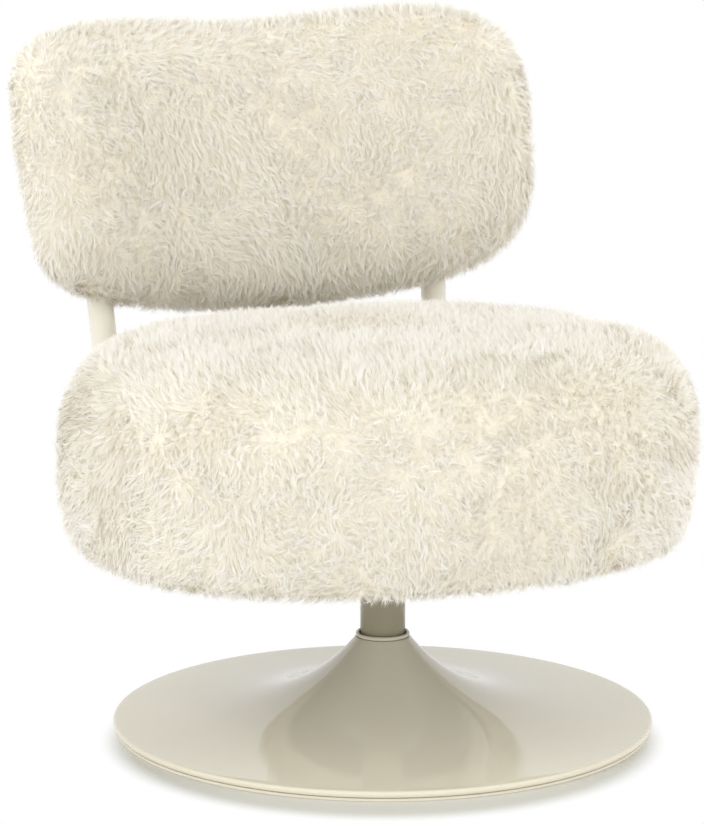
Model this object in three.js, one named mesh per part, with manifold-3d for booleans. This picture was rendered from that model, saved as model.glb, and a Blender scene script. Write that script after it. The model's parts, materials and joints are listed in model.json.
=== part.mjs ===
// Swivel lounge chair: a sheepskin seat and a curved sheepskin back on a trumpet-shaped pedestal.
// Millimetres, +Z up. The origin is on the floor, on the swivel axis, and the chair faces -Y.
import * as THREE from "three";
import { mergeVertices } from "three/addons/utils/BufferGeometryUtils.js";
import Module from "manifold-3d";

const wasm = await Module();
wasm.setup();

// Clearances shared by all pieces
const seatGap = 0.3; // between pieces that touch
const cutOverrun = 2; // how far a cutting shape runs past what it cuts
const postRelief = 0.6; // between a post and the pile that it presses on

// Swivel column
const column = { radius: 25, wall: 2.5, bottomHeight: 92 };
const stem = { radius: 19, flangeRadius: 60, flangeThickness: 8, flangeFillet: 6, threadDepth: 40 };
const bush = { flangeThickness: 2.5, lowerLength: 26, upperLength: 24, topInset: 4 };
const hub = { height: 20, boltClearance: 0.8 };
const bearing = {
  ballRadius: 3.175,
  pitchRadius: 13.2,
  raceThickness: 4,
  raceHalfWidth: 5.4,
  grooveDepth: 1.2,
  cageThickness: 2,
  cageHalfWidth: 4.2,
};
const ballCount = 8;
const pivotBolt = { radius: 6, threadLength: 34, headWidth: 19, headHeight: 7.5 };
const pivotWasher = { radius: 15, thickness: 2.5 };

// Trumpet base, spun from sheet and closed from below by a steel ballast plate and a plastic disc
const base = {
  radius: 300,
  wall: 2.5,
  neckHeight: 100,
  footHeight: 9,
  flareLength: 72,
  hemWidth: 12,
  rimRound: 3,
  hemChamfer: 1.2,
};
const neckRing = { gap: 1.3, width: 3.7, height: 4.5, sleeveLength: 12 };
const floorDisc = { thickness: 3.5, edgeInset: 2, chamfer: 1 };
const ballast = { thickness: 4.5 };
const flangeScrew = { radius: 4, headRadius: 8, headHeight: 4, length: 11, pitchRadius: 44 };
const flangeScrewCount = 4;

// Seat: a rounded square, crowned on top, its wool wrapped under the edge of its board
const seat = {
  halfWidth: 359,
  halfDepth: 311,
  centreY: 9.5,
  boardHeight: 227,
  hemHeight: 205.5,
  midHeight: 311,
  topHeight: 442.5,
  crown: 9,
  upperRound: 86,
  lowerRound: 36,
  hemOverlap: 34,
  hemRise: 10,
  pile: 28,
};
const seatFoam = { round: 62, endAngle: -54 };
const seatBoard = { thickness: 18 };
const dustCover = { thickness: 0.8, edgeInset: 2 };
const seatPlate = { halfWidth: 90, thickness: 4, cornerRadius: 14, boltInset: 20, holeRadius: 18 };
const plateBolt = { radius: 4, headWidth: 13, headHeight: 5.3, grip: 16 };

// Back: a rounded oblong bent round the sitter, leaning backwards
const back = {
  sideInset: 27,
  halfHeight: 173.5,
  centreHeight: 597.5,
  centreY: 351,
  lean: 10,
  halfThickness: 55,
  crown: 8,
  edgeRound: 50,
  bendRadius: 720,
  pile: 22,
};
const backBoard = { thickness: 12, inset: 16 };

// Posts: bent tubes that rise behind the seat and end inside the back
const post = { radius: 15, lowerSplay: 9, upperSplay: 17, kinkHeight: 380, topInset: 52 };
const postBend = { lowerRadius: 60, upperRadius: 220, behindCentre: 22 };
const postFoot = {
  halfWidth: 30,
  length: 80,
  thickness: 4,
  cornerRadius: 6,
  sideInset: 44,
  rearInset: 106.5,
  tubeInset: 5,
};
const footBolt = { radius: 3, headWidth: 10, headHeight: 4, grip: 14, spread: 22.5 };
const bracket = { halfWidth: 30, halfHeight: 55, thickness: 3, screwSpread: 22.5, screwRise: 36 };
const bracketScrew = { radius: 2.4, headRadius: 4.6, headHeight: 2.6, grip: 9 };

// How round each form is: the powers of the two halves of an outline, and of a rounded edge
const roundPowers = { far: 2, near: 2 };
const seatOutlinePowers = { far: 2.2, near: 2.2 };
const backOutlinePowers = { far: 4.3, near: 3.7 };
const seatEdgePower = 2.5;
const flareEasePower = 1.6;

// Where in-between rings lie, as shares of the whole
const crownShares = [0, 0.55];
const grooveShares = [-1, -0.5, 0, 0.5, 1];
const ringLipShare = 0.125;

// Heights and radii that follow from the sizes above
const degrees = Math.PI / 180;
const columnInner = column.radius - column.wall;
const neckRadius = column.radius + neckRing.gap + neckRing.width;
const plateTop = seat.boardHeight - 2 * seatGap - dustCover.thickness;
const plateBottom = plateTop - seatPlate.thickness;
const columnTop = plateBottom - seatGap;
const headTop = columnTop - seatGap;
const hubTop = headTop - pivotBolt.headHeight - pivotWasher.thickness - 2 * seatGap;
const hubBottom = hubTop - hub.height;
const raceSpread = 2 * (bearing.ballRadius + seatGap - bearing.grooveDepth);
const upperRaceTop = hubBottom - seatGap;
const upperRaceBottom = upperRaceTop - bearing.raceThickness;
const lowerRaceTop = upperRaceBottom - raceSpread;
const lowerRaceBottom = lowerRaceTop - bearing.raceThickness;
const stemTop = lowerRaceBottom - seatGap;
const ballHeight = (upperRaceBottom + lowerRaceTop) / 2;
const hemBottom = floorDisc.thickness + seatGap;
const ballastTop = hemBottom + ballast.thickness;
const stemBottom = ballastTop + seatGap;
const boardRear = post.radius - postBend.behindCentre + 2 * seatGap + bracket.thickness;
const boardFront = boardRear + backBoard.thickness;

// Half sizes of the seat's foam and board and of the opening in its wool, and where the posts go
const inset = ({ halfX, halfY }, by) => ({ halfX: halfX - by, halfY: halfY - by });
const seatHalf = { halfX: seat.halfWidth, halfY: seat.halfDepth };
const foamInner = inset(seatHalf, seat.pile + seatFoam.round);
const foamTuck = seatFoam.round * Math.cos(seatFoam.endAngle * degrees);
const boardHalf = inset(foamInner, seatGap - foamTuck);
const coverOpening = inset(boardHalf, seat.hemOverlap);
const footX = coverOpening.halfX - postFoot.halfWidth - postFoot.sideInset;
const footRearY = seat.centreY + coverOpening.halfY - postFoot.rearInset;
const backHalfWidth = seat.halfWidth - back.sideInset;
const kinkX = footX + post.lowerSplay;
const topX = kinkX + post.upperSplay;

// Facets round each kind of form
const facets = { base: 48, column: 32, bearing: 24, small: 12, cushion: 36, post: 12, ball: 8 };
const flareSteps = 7;
const postSteps = 28;
const backStrips = 10;

// Paint, steel, plastic, timber, foam and fur
const finish = (color, roughness, metalness) =>
  new THREE.MeshStandardMaterial({ color, roughness, metalness });
const greigePaint = finish(0xc9c3b1, 0.3, 0);
const creamPaint = finish(0xdfd8c6, 0.35, 0);
const plainSteel = finish(0x8d8f92, 0.4, 1);
const bearingSteel = finish(0xb4b7ba, 0.2, 1);
const nylon = finish(0xe9e6dd, 0.5, 0);
const palePlastic = finish(0xcfc9b8, 0.55, 0);
const plywood = finish(0xc9a777, 0.6, 0);
const foam = finish(0xe8dfae, 0.9, 0);
const blackCloth = finish(0x2b2a28, 0.95, 0);
const sheepskin = finish(0xebe5d6, 1, 0);

const chair = new THREE.Group();
const add = (name, geometry, material, parent = chair) => {
  const mesh = new THREE.Mesh(geometry, material.clone());
  mesh.name = name;
  parent.add(mesh);
  return mesh;
};

// A closed mesh with shared corners merged and faces without area left out
function weld(geometry) {
  const bare = geometry.clone();
  bare.deleteAttribute("normal");
  bare.deleteAttribute("uv");
  const merged = mergeVertices(bare);
  const corners = merged.index.array;
  const kept = [];
  for (let i = 0; i < corners.length; i += 3) {
    const [a, b, c] = corners.slice(i, i + 3);
    if (a !== b && b !== c && c !== a) kept.push(a, b, c);
  }
  merged.setIndex(kept);
  return merged;
}

function solid(geometry) {
  const welded = weld(geometry);
  const vertProperties = new Float32Array(welded.attributes.position.array);
  const triVerts = new Uint32Array(welded.index.array);
  return new wasm.Manifold(new wasm.Mesh({ numProp: 3, vertProperties, triVerts }));
}

function geometryOf(body) {
  const mesh = body.getMesh();
  const geometry = new THREE.BufferGeometry();
  geometry.setAttribute("position", new THREE.BufferAttribute(mesh.vertProperties, 3));
  geometry.setIndex(new THREE.BufferAttribute(mesh.triVerts, 1));
  geometry.computeVertexNormals();
  return geometry;
}

const cut = (geometry, tools) =>
  geometryOf(tools.reduce((body, tool) => body.subtract(solid(tool)), solid(geometry)));

const join = (geometries) =>
  geometryOf(geometries.slice(1).reduce((body, g) => body.add(solid(g)), solid(geometries[0])));

// Turns a profile of [radius, height] pairs round the Z axis. It runs anticlockwise, and starts
// and ends on the axis or closes on itself.
function turned(profile, sides) {
  const points = profile.map(([radius, height]) => new THREE.Vector2(radius, height));
  if (profile[0][0] > 0) points.push(points[0].clone());
  return weld(new THREE.LatheGeometry(points, sides).rotateX(Math.PI / 2));
}

const ringProfile = (inner, outer, bottom, top) => [
  [inner, bottom],
  [outer, bottom],
  [outer, top],
  [inner, top],
];

const cylinder = (radius, bottom, top, sides) =>
  new THREE.CylinderGeometry(radius, radius, top - bottom, sides)
    .rotateX(Math.PI / 2)
    .translate(0, 0, (top + bottom) / 2);

// A plate in the XY plane with holes, from its outline
function plate(outline, holes, bottom, thickness) {
  const shape = new THREE.Shape(outline);
  for (const [x, y, radius] of holes) {
    shape.holes.push(new THREE.Path().absarc(x, y, radius, 0, 2 * Math.PI));
  }
  const options = { depth: thickness, bevelEnabled: false, curveSegments: facets.small / 2 };
  return weld(new THREE.ExtrudeGeometry(shape, options).translate(0, 0, bottom));
}

function roundedOblong(halfX, halfY, radius) {
  const corners = [
    [1, 1, 0],
    [-1, 1, 90],
    [-1, -1, 180],
    [1, -1, 270],
  ];
  return corners.flatMap(([sideX, sideY, start]) =>
    [0, 30, 60, 90].map((turn) => {
      const angle = (start + turn) * degrees;
      const x = sideX * (halfX - radius) + radius * Math.cos(angle);
      return new THREE.Vector2(x, sideY * (halfY - radius) + radius * Math.sin(angle));
    }),
  );
}

// Rounded square or oblong outline: a superellipse whose far and near halves may differ
const signedPower = (value, power) => Math.sign(value) * Math.abs(value) ** power;
const outline = (halfX, halfY, powers, sides) =>
  Array.from({ length: sides }, (_, i) => {
    const angle = (2 * Math.PI * i) / sides;
    const power = 2 * i > sides ? powers.near : powers.far;
    const x = halfX * signedPower(Math.cos(angle), 2 / power);
    return new THREE.Vector2(x, halfY * signedPower(Math.sin(angle), 2 / power));
  });

// Skins a list of rings, each { halfX, halfY, height }. A ring of no size is a pole.
function loft(rings, powers) {
  const sides = facets.cushion;
  const points = [];
  const faces = [];
  const starts = rings.map(({ halfX, halfY, height }) => {
    const start = points.length;
    const ring = halfX > 0 ? outline(halfX, halfY, powers, sides) : [new THREE.Vector2(0, 0)];
    for (const { x, y } of ring) points.push(new THREE.Vector3(x, y, height));
    return start;
  });
  for (let i = 0; i + 1 < rings.length; i++) {
    for (let j = 0; j < sides; j++) {
      const next = (j + 1) % sides;
      const at = (ring, turn) => starts[ring] + (rings[ring].halfX > 0 ? turn : 0);
      faces.push(at(i, j), at(i + 1, j), at(i, next));
      faces.push(at(i, next), at(i + 1, j), at(i + 1, next));
    }
  }
  const geometry = new THREE.BufferGeometry().setFromPoints(points);
  geometry.setIndex(faces);
  return weld(geometry);
}

// Rings of a rounded edge or part of one, from one angle to another, about an inner line
function roundRings(inner, { radius, middle, rise, power }, fromAngle, toAngle, steps) {
  return Array.from({ length: steps + 1 }, (_, i) => {
    const angle = (fromAngle + ((toAngle - fromAngle) * i) / steps) * degrees;
    const reach = radius * signedPower(Math.cos(angle), 2 / power);
    const height = middle + rise * signedPower(Math.sin(angle), 2 / power);
    return { halfX: inner.halfX + reach, halfY: inner.halfY + reach, height };
  });
}

// Rings of a crown, from its pole towards the edge where the round begins
const crownRings = (edge, edgeHeight, crown) =>
  crownShares.map((share) => ({
    halfX: share * edge.halfX,
    halfY: share * edge.halfY,
    height: edgeHeight + crown * (1 - share ** 2),
  }));

// Rings grown sideways by a gap, and upwards too above a given height
const grown = (rings, gap, middle) =>
  rings.map(({ halfX, halfY, height }) => ({
    halfX: halfX > 0 ? halfX + gap : 0,
    halfY: halfY > 0 ? halfY + gap : 0,
    height: height > middle ? height + gap : height,
  }));

// Base: shell, neck ring, ballast plate and floor disc

const flareHeight = (radius) =>
  base.footHeight +
  (base.neckHeight - base.footHeight) * Math.exp((neckRadius - radius) / base.flareLength);

function baseShell() {
  const rimStart = base.radius - base.rimRound;
  const hemInner = base.radius - base.hemWidth;
  const radiusAt = (i, end) => neckRadius + (end - neckRadius) * (i / flareSteps) ** flareEasePower;
  const outer = Array.from({ length: flareSteps + 1 }, (_, i) => {
    const radius = radiusAt(i, rimStart);
    return [radius, flareHeight(radius)];
  });
  const inner = Array.from({ length: flareSteps + 1 }, (_, i) => {
    const radius = radiusAt(i, hemInner);
    const slope = (flareHeight(radius) - base.footHeight) / base.flareLength;
    const stretch = Math.hypot(1, slope);
    return [radius - (base.wall * slope) / stretch, flareHeight(radius) - base.wall / stretch];
  });
  const rimTop = flareHeight(rimStart);
  const rim = [45, 0].map((angle) => [
    rimStart + base.rimRound * Math.cos(angle * degrees),
    rimTop - base.rimRound * (1 - Math.sin(angle * degrees)),
  ]);
  const profile = [
    [neckRadius - base.wall, base.neckHeight],
    ...inner,
    [hemInner, hemBottom],
    [base.radius - base.hemChamfer, hemBottom],
    [base.radius, hemBottom + base.hemChamfer],
    ...rim.reverse(),
    ...outer.reverse(),
  ];
  return turned(profile, facets.base);
}

function neckRingBody() {
  const inner = column.radius + neckRing.gap;
  const sleeveOuter = neckRadius - base.wall - seatGap;
  const bottom = base.neckHeight + seatGap;
  const middle = (inner + neckRadius) / 2;
  const bead = [0, 45, 90, 135, 180].map((angle) => [
    middle + (neckRing.width / 2) * Math.cos(angle * degrees),
    bottom + (neckRing.height / 2) * (1 + Math.sin(angle * degrees)),
  ]);
  return turned(
    [
      [inner, base.neckHeight - neckRing.sleeveLength],
      [sleeveOuter, base.neckHeight - neckRing.sleeveLength],
      [sleeveOuter, bottom],
      [neckRadius - neckRing.width * ringLipShare, bottom],
      ...bead,
    ],
    facets.column,
  );
}

const screwPlaces = Array.from({ length: flangeScrewCount }, (_, i) => {
  const angle = ((i + 0.5) * 2 * Math.PI) / flangeScrewCount;
  return [flangeScrew.pitchRadius * Math.cos(angle), flangeScrew.pitchRadius * Math.sin(angle)];
});

// A countersunk screw that stands on its head
function flangeScrewBody() {
  const { radius, headRadius, headHeight, length } = flangeScrew;
  return turned(
    [
      [0, hemBottom],
      [headRadius, hemBottom],
      [radius, hemBottom + headHeight],
      [radius, hemBottom + length],
      [0, hemBottom + length],
    ],
    facets.small,
  );
}

// The hole for it, larger all round by a gap and open below
function flangeScrewHole() {
  const { radius, headRadius, headHeight, length } = flangeScrew;
  return turned(
    [
      [0, hemBottom - cutOverrun],
      [headRadius + seatGap, hemBottom - cutOverrun],
      [headRadius + seatGap, hemBottom],
      [radius + seatGap, hemBottom + headHeight],
      [radius + seatGap, hemBottom + length + seatGap],
      [0, hemBottom + length + seatGap],
    ],
    facets.small,
  );
}

const screwHoles = screwPlaces.map(([x, y]) => flangeScrewHole().translate(x, y, 0));

add("base_shell", baseShell(), greigePaint);
add("neck_ring", neckRingBody(), greigePaint);

const ballastRadius = base.radius - base.hemWidth - seatGap;
const ballastDisc = turned(
  [
    [0, hemBottom],
    [ballastRadius, hemBottom],
    [ballastRadius, ballastTop],
    [0, ballastTop],
  ],
  facets.base,
);
add("base_plate", cut(ballastDisc, screwHoles), plainSteel);

const discRadius = base.radius - floorDisc.edgeInset;
const floorDiscBody = turned(
  [
    [0, 0],
    [discRadius - floorDisc.chamfer, 0],
    [discRadius, floorDisc.chamfer],
    [discRadius, floorDisc.thickness],
    [0, floorDisc.thickness],
  ],
  facets.base,
);
add("floor_disc", floorDiscBody, palePlastic);

// Stem, its screws and the thrust bearing on its top

const threadRadius = pivotBolt.radius + seatGap;
const stemBody = turned(
  [
    [0, stemBottom],
    [stem.flangeRadius, stemBottom],
    [stem.flangeRadius, stemBottom + stem.flangeThickness],
    [stem.radius + stem.flangeFillet, stemBottom + stem.flangeThickness],
    [stem.radius, stemBottom + stem.flangeThickness + stem.flangeFillet],
    [stem.radius, stemTop],
    [threadRadius, stemTop],
    [threadRadius, stemTop - stem.threadDepth],
    [0, stemTop - stem.threadDepth],
  ],
  facets.bearing,
);
add("stem_post", cut(stemBody, screwHoles), plainSteel);
screwPlaces.forEach(([x, y], i) => {
  add(`flange_screw_${i + 1}`, flangeScrewBody(), plainSteel).position.set(x, y, 0);
});

// A race is a flat ring with a round groove in the face that the balls run on. It is drawn with
// its groove up, from height zero.
function raceBody() {
  const { ballRadius, pitchRadius, raceThickness, raceHalfWidth, grooveDepth } = bearing;
  const grooveRadius = ballRadius + seatGap;
  const centre = raceThickness - grooveDepth + grooveRadius;
  const spread = Math.acos((grooveRadius - grooveDepth) / grooveRadius);
  const groove = grooveShares.map((share) => [
    pitchRadius - grooveRadius * Math.sin(share * spread),
    centre - grooveRadius * Math.cos(share * spread),
  ]);
  const ring = ringProfile(pitchRadius - raceHalfWidth, pitchRadius + raceHalfWidth, 0, raceThickness);
  return turned([...ring.slice(0, 3), ...groove, ring[3]], facets.bearing);
}

function ballCageBody() {
  const { ballRadius, pitchRadius, cageThickness, cageHalfWidth } = bearing;
  const halfCage = cageThickness / 2;
  const inner = pitchRadius - cageHalfWidth;
  const ring = ringProfile(inner, pitchRadius + cageHalfWidth, -halfCage, halfCage);
  const balls = Array.from({ length: ballCount }, (_, i) => {
    const angle = (2 * Math.PI * i) / ballCount;
    return new THREE.SphereGeometry(ballRadius, facets.ball, facets.ball / 2)
      .rotateX(Math.PI / 2)
      .translate(pitchRadius * Math.cos(angle), pitchRadius * Math.sin(angle), 0);
  });
  return join([turned(ring, facets.bearing), ...balls]);
}

add("lower_race", raceBody(), bearingSteel).position.z = lowerRaceBottom;
add("ball_cage", ballCageBody(), bearingSteel).position.z = ballHeight;
add("upper_race", raceBody().rotateX(Math.PI), bearingSteel).position.z = upperRaceTop;

// A hexagon bolt with its head's lower face at height zero and its shank pointing up or down
function hexBolt({ radius, headWidth, headHeight }, shankLength) {
  const corner = headWidth / Math.sqrt(3);
  return join([
    cylinder(corner, 0, headHeight, 6),
    cylinder(radius, -shankLength, headHeight / 2, facets.small),
  ]);
}

const pivotShank = pivotBolt.threadLength + (hubTop - stemTop) + pivotWasher.thickness + 2 * seatGap;
const washerProfile = ringProfile(threadRadius, pivotWasher.radius, 0, pivotWasher.thickness);
const washerBody = turned(washerProfile, facets.bearing);
add("retaining_washer", washerBody, plainSteel).position.z = hubTop + seatGap;
const pivotBoltBody = hexBolt(pivotBolt, pivotShank);
add("retaining_bolt", pivotBoltBody, plainSteel).position.z = headTop - pivotBolt.headHeight;

// Column with its bushes and hub

const columnProfile = ringProfile(columnInner, column.radius, column.bottomHeight, columnTop);
add("column_tube", turned(columnProfile, facets.column), greigePaint);

const bushInner = stem.radius + seatGap;
const bushOuter = columnInner - seatGap;
const lowerBushBottom = column.bottomHeight - seatGap - bush.flangeThickness;
add(
  "lower_bush",
  turned(
    [
      [bushInner, lowerBushBottom],
      [column.radius, lowerBushBottom],
      [column.radius, lowerBushBottom + bush.flangeThickness],
      [bushOuter, lowerBushBottom + bush.flangeThickness],
      [bushOuter, lowerBushBottom + bush.lowerLength],
      [bushInner, lowerBushBottom + bush.lowerLength],
    ],
    facets.bearing,
  ),
  nylon,
);
const upperBushTop = stemTop - bush.topInset;
const upperBushBottom = upperBushTop - bush.upperLength;
const upperBushProfile = ringProfile(bushInner, bushOuter, upperBushBottom, upperBushTop);
add("upper_bush", turned(upperBushProfile, facets.bearing), nylon);
const hubProfile = ringProfile(pivotBolt.radius + hub.boltClearance, bushOuter, hubBottom, hubTop);
add("swivel_hub", turned(hubProfile, facets.bearing), plainSteel);

// Posts: each follows a bent line from under the board, up behind the seat, into the back

// Carries a point of the flat back, across, up and forward, to its bent and leaning place
const leanSine = Math.sin(back.lean * degrees);
const leanCosine = Math.cos(back.lean * degrees);
const backDepth = (across, forward) =>
  -back.bendRadius + (back.bendRadius - forward) * Math.cos(across / back.bendRadius);
const postDepth = backDepth(kinkX, -postBend.behindCentre);
const postKinkRise = (post.kinkHeight - back.centreHeight + postDepth * leanSine) / leanCosine;

function backPoint(across, up, forward) {
  const x = (back.bendRadius - forward) * Math.sin(across / back.bendRadius);
  const depth = backDepth(across, forward);
  const y = back.centreY + depth * leanCosine + up * leanSine;
  const z = back.centreHeight - depth * leanSine + up * leanCosine;
  return new THREE.Vector3(x, y, z);
}

function bent(geometry) {
  const places = geometry.attributes.position;
  for (let i = 0; i < places.count; i++) {
    const { x, y, z } = backPoint(places.getX(i), places.getY(i), places.getZ(i));
    places.setXYZ(i, x, y, z);
  }
  return geometry;
}

// A path of straight runs joined by rounded corners
function roundedPath(corners, radii) {
  const path = new THREE.CurvePath();
  let from = corners[0];
  for (let i = 1; i + 1 < corners.length; i++) {
    const before = corners[i - 1].clone().sub(corners[i]).normalize();
    const after = corners[i + 1].clone().sub(corners[i]).normalize();
    const turn = Math.PI - before.angleTo(after);
    const reach = radii[i - 1] * Math.tan(turn / 2);
    const start = corners[i].clone().addScaledVector(before, reach);
    const end = corners[i].clone().addScaledVector(after, reach);
    path.add(new THREE.LineCurve3(from, start));
    path.add(new THREE.QuadraticBezierCurve3(start, corners[i], end));
    from = end;
  }
  path.add(new THREE.LineCurve3(from, corners.at(-1)));
  return path;
}

const footPlateBottom = plateTop - postFoot.thickness;
const postRunHeight = footPlateBottom - seatGap - post.radius;
const postTopRise = back.halfHeight - post.topInset;
const postFrontY = footRearY - postFoot.length + postFoot.tubeInset;

function postPath(side, beyond) {
  const kink = backPoint(side * kinkX, postKinkRise, -postBend.behindCentre);
  const top = backPoint(side * topX, postTopRise + beyond, -postBend.behindCentre);
  const corners = [
    new THREE.Vector3(side * footX, postFrontY, postRunHeight),
    new THREE.Vector3(side * footX, kink.y, postRunHeight),
    kink,
    top,
  ];
  return roundedPath(corners, [postBend.lowerRadius, postBend.upperRadius]);
}

// A post, or the room that it needs: grown all round and at its top by a gap
function postTube(side, gap) {
  const radius = post.radius + gap;
  const section = new THREE.Shape(outline(radius, radius, roundPowers, facets.post));
  const options = { steps: postSteps, bevelEnabled: false, extrudePath: postPath(side, gap) };
  return weld(new THREE.ExtrudeGeometry(section, options));
}

// Left and right are the sitter's
const sides = [
  ["right", -1],
  ["left", 1],
];
const postReliefs = sides.map(([, side]) => postTube(side, postRelief));
const tubeHoles = sides.map(([, side]) => postTube(side, seatGap));
for (const [label, side] of sides) add(`back_post_${label}`, postTube(side, 0), creamPaint);

// Seat plate, board, dust cover and their bolts

const boltOffset = seatPlate.halfWidth - seatPlate.boltInset;
const plateBoltPlaces = [
  [boltOffset, boltOffset],
  [-boltOffset, boltOffset],
  [-boltOffset, -boltOffset],
  [boltOffset, -boltOffset],
];
const footMiddleY = footRearY - postFoot.length / 2;
const footBoltPlaces = sides.flatMap(([, side]) =>
  [-1, 1].map((way) => [side * footX + way * footBolt.spread, footMiddleY]),
);
const boltHoles = [
  ...plateBoltPlaces.map(([x, y]) => [x, y, plateBolt.radius + seatGap]),
  ...footBoltPlaces.map(([x, y]) => [x, y, footBolt.radius + seatGap]),
];
const plateHoles = boltHoles.slice(0, plateBoltPlaces.length);

const seatPlateShape = roundedOblong(seatPlate.halfWidth, seatPlate.halfWidth, seatPlate.cornerRadius);
const accessHole = [0, 0, seatPlate.holeRadius];
const seatPlateHoles = [...plateHoles, accessHole];
const seatPlateBody = plate(seatPlateShape, seatPlateHoles, plateBottom, seatPlate.thickness);
add("seat_plate", seatPlateBody, plainSteel);

// Outlines and lofts of the seat stand a little behind the swivel axis
function seatOutline({ halfX, halfY }) {
  const points = outline(halfX, halfY, seatOutlinePowers, facets.cushion);
  return points.map(({ x, y }) => new THREE.Vector2(x, y + seat.centreY));
}
const seatLoft = (rings) => loft(rings, seatOutlinePowers).translate(0, seat.centreY, 0);

const boardBody = plate(seatOutline(boardHalf), boltHoles, seat.boardHeight, seatBoard.thickness);
add("seat_board", boardBody, plywood);

const clothOutline = seatOutline(inset(coverOpening, dustCover.edgeInset));
const dustCoverBody = plate(clothOutline, boltHoles, plateTop + seatGap, dustCover.thickness);
add("dust_cover", dustCoverBody, blackCloth);

// The shank points up, so the bolt is turned over
const upwardBolt = (bolt) => hexBolt(bolt, bolt.grip).rotateX(Math.PI);
plateBoltPlaces.forEach(([x, y], i) => {
  const bolt = add(`plate_bolt_${i + 1}`, upwardBolt(plateBolt), plainSteel);
  bolt.position.set(x, y, plateBottom - seatGap);
});
footBoltPlaces.forEach(([x, y], i) => {
  const bolt = add(`foot_bolt_${i + 1}`, upwardBolt(footBolt), plainSteel);
  bolt.position.set(x, y, footPlateBottom - seatGap);
});

sides.forEach(([label, side], i) => {
  const shape = roundedOblong(postFoot.halfWidth, postFoot.length / 2, postFoot.cornerRadius);
  for (const point of shape) point.add(new THREE.Vector2(side * footX, footMiddleY));
  const firstHole = plateBoltPlaces.length + 2 * i;
  const holes = boltHoles.slice(firstHole, firstHole + 2);
  add(`post_foot_${label}`, plate(shape, holes, footPlateBottom, postFoot.thickness), plainSteel);
});

// Seat foam, and the sheepskin cover drawn over foam and board

const foamBottom = seat.boardHeight + seatBoard.thickness + seatGap;
const foamTop = seat.topHeight - seat.pile;
const foamEdge = foamTop - seat.crown;
const foamUpper = {
  radius: seatFoam.round,
  middle: seat.midHeight,
  rise: foamEdge - seat.midHeight,
  power: seatEdgePower,
};
const foamLower = { ...foamUpper, power: roundPowers.near };
foamLower.rise = (foamBottom - seat.midHeight) / Math.sin(seatFoam.endAngle * degrees);
const foamRings = [
  ...crownRings(foamInner, foamEdge, seat.crown),
  ...roundRings(foamInner, foamUpper, 90, 0, 4),
  ...roundRings(foamInner, foamLower, 0, seatFoam.endAngle, 2).slice(1),
];
const foamPole = { halfX: 0, halfY: 0, height: foamBottom };
add("seat_foam", seatLoft([...foamRings, foamPole]), foam);

function seatCoverBody() {
  const upper = inset(seatHalf, seat.upperRound);
  const lower = inset(seatHalf, seat.lowerRound);
  const edgeHeight = seat.topHeight - seat.crown;
  const ceiling = seat.boardHeight - seatGap;
  const edge = { middle: seat.midHeight, power: seatEdgePower };
  const upperEdge = { ...edge, radius: seat.upperRound, rise: edgeHeight - seat.midHeight };
  const lowerEdge = { ...edge, radius: seat.lowerRound, rise: seat.midHeight - seat.hemHeight };
  const rings = [
    ...crownRings(upper, edgeHeight, seat.crown),
    ...roundRings(upper, upperEdge, 90, 0, 6),
    ...roundRings(lower, lowerEdge, 0, -90, 5).slice(1),
    { ...coverOpening, height: seat.hemHeight + seat.hemRise },
    { ...coverOpening, height: ceiling },
    { ...inset(boardHalf, -2 * seatGap), height: ceiling },
    ...grown(foamRings, seatGap, seat.midHeight).reverse(),
  ];
  return cut(seatLoft(rings), postReliefs);
}
add("seat_cover", seatCoverBody(), sheepskin);

// Back: board, foam on both its faces, and the sheepskin cover

// Rings of a pillow from the middle of its front to the middle of its rear face
function pillowRings(halfX, halfY, halfThickness, round, crown) {
  const inner = inset({ halfX, halfY }, round);
  const edge = halfThickness - crown;
  const front = crownRings(inner, edge, crown);
  const rear = front.map((ring) => ({ ...ring, height: -ring.height })).reverse();
  const edgeRound = { radius: round, middle: 0, rise: edge, power: roundPowers.far };
  return [...front, ...roundRings(inner, edgeRound, 90, -90, 8), ...rear];
}

const backCore = { halfX: backHalfWidth - back.pile, halfY: back.halfHeight - back.pile };
const coreRound = back.edgeRound - back.pile;
const coreThickness = back.halfThickness - back.pile;
const coreRings = pillowRings(backCore.halfX, backCore.halfY, coreThickness, coreRound, back.crown);

// Everything of the back between two depths, wider and higher than the back
function backSlab(from, to) {
  const width = 2 * (backHalfWidth + cutOverrun);
  const height = 2 * (back.halfHeight + cutOverrun);
  const slab = new THREE.BoxGeometry(width, height, to - from, backStrips, 1, 1);
  return bent(weld(slab.translate(0, 0, (from + to) / 2)));
}

const core = () => bent(loft(coreRings, backOutlinePowers));
const keep = (geometry, tool) => geometryOf(solid(geometry).intersect(solid(tool)));

// A bent sheet of the back between two depths, from its flat outline
function backSheet(outlineRing, from, to) {
  const reach = back.halfThickness;
  const pole = { halfX: 0, halfY: 0 };
  const prism = [
    { ...pole, height: reach },
    { ...outlineRing, height: reach },
    { ...outlineRing, height: -reach },
    { ...pole, height: -reach },
  ];
  return keep(bent(loft(prism, backOutlinePowers)), backSlab(from, to));
}

// A screw that lies along the back's depth, its head's front face at the given depth
function bracketScrewBody(across, up, gap) {
  const { radius, headRadius, headHeight, grip } = bracketScrew;
  const headFront = boardRear - bracket.thickness - 2 * seatGap;
  const body = turned(
    [
      [0, headFront - headHeight - gap],
      [headRadius + gap, headFront - headHeight - gap],
      [headRadius + gap, headFront + gap / 2],
      [radius + gap, headFront + gap / 2],
      [radius + gap, headFront + grip + gap],
      [0, headFront + grip + gap],
    ],
    facets.small,
  );
  const place = backPoint(across, up, 0);
  const forward = backPoint(across, up, 1).sub(place);
  const upright = backPoint(across, up + 1, 0).sub(place);
  const sideways = upright.clone().cross(forward);
  const frame = new THREE.Matrix4().makeBasis(sideways, upright, forward).setPosition(place);
  return body.applyMatrix4(frame);
}

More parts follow.
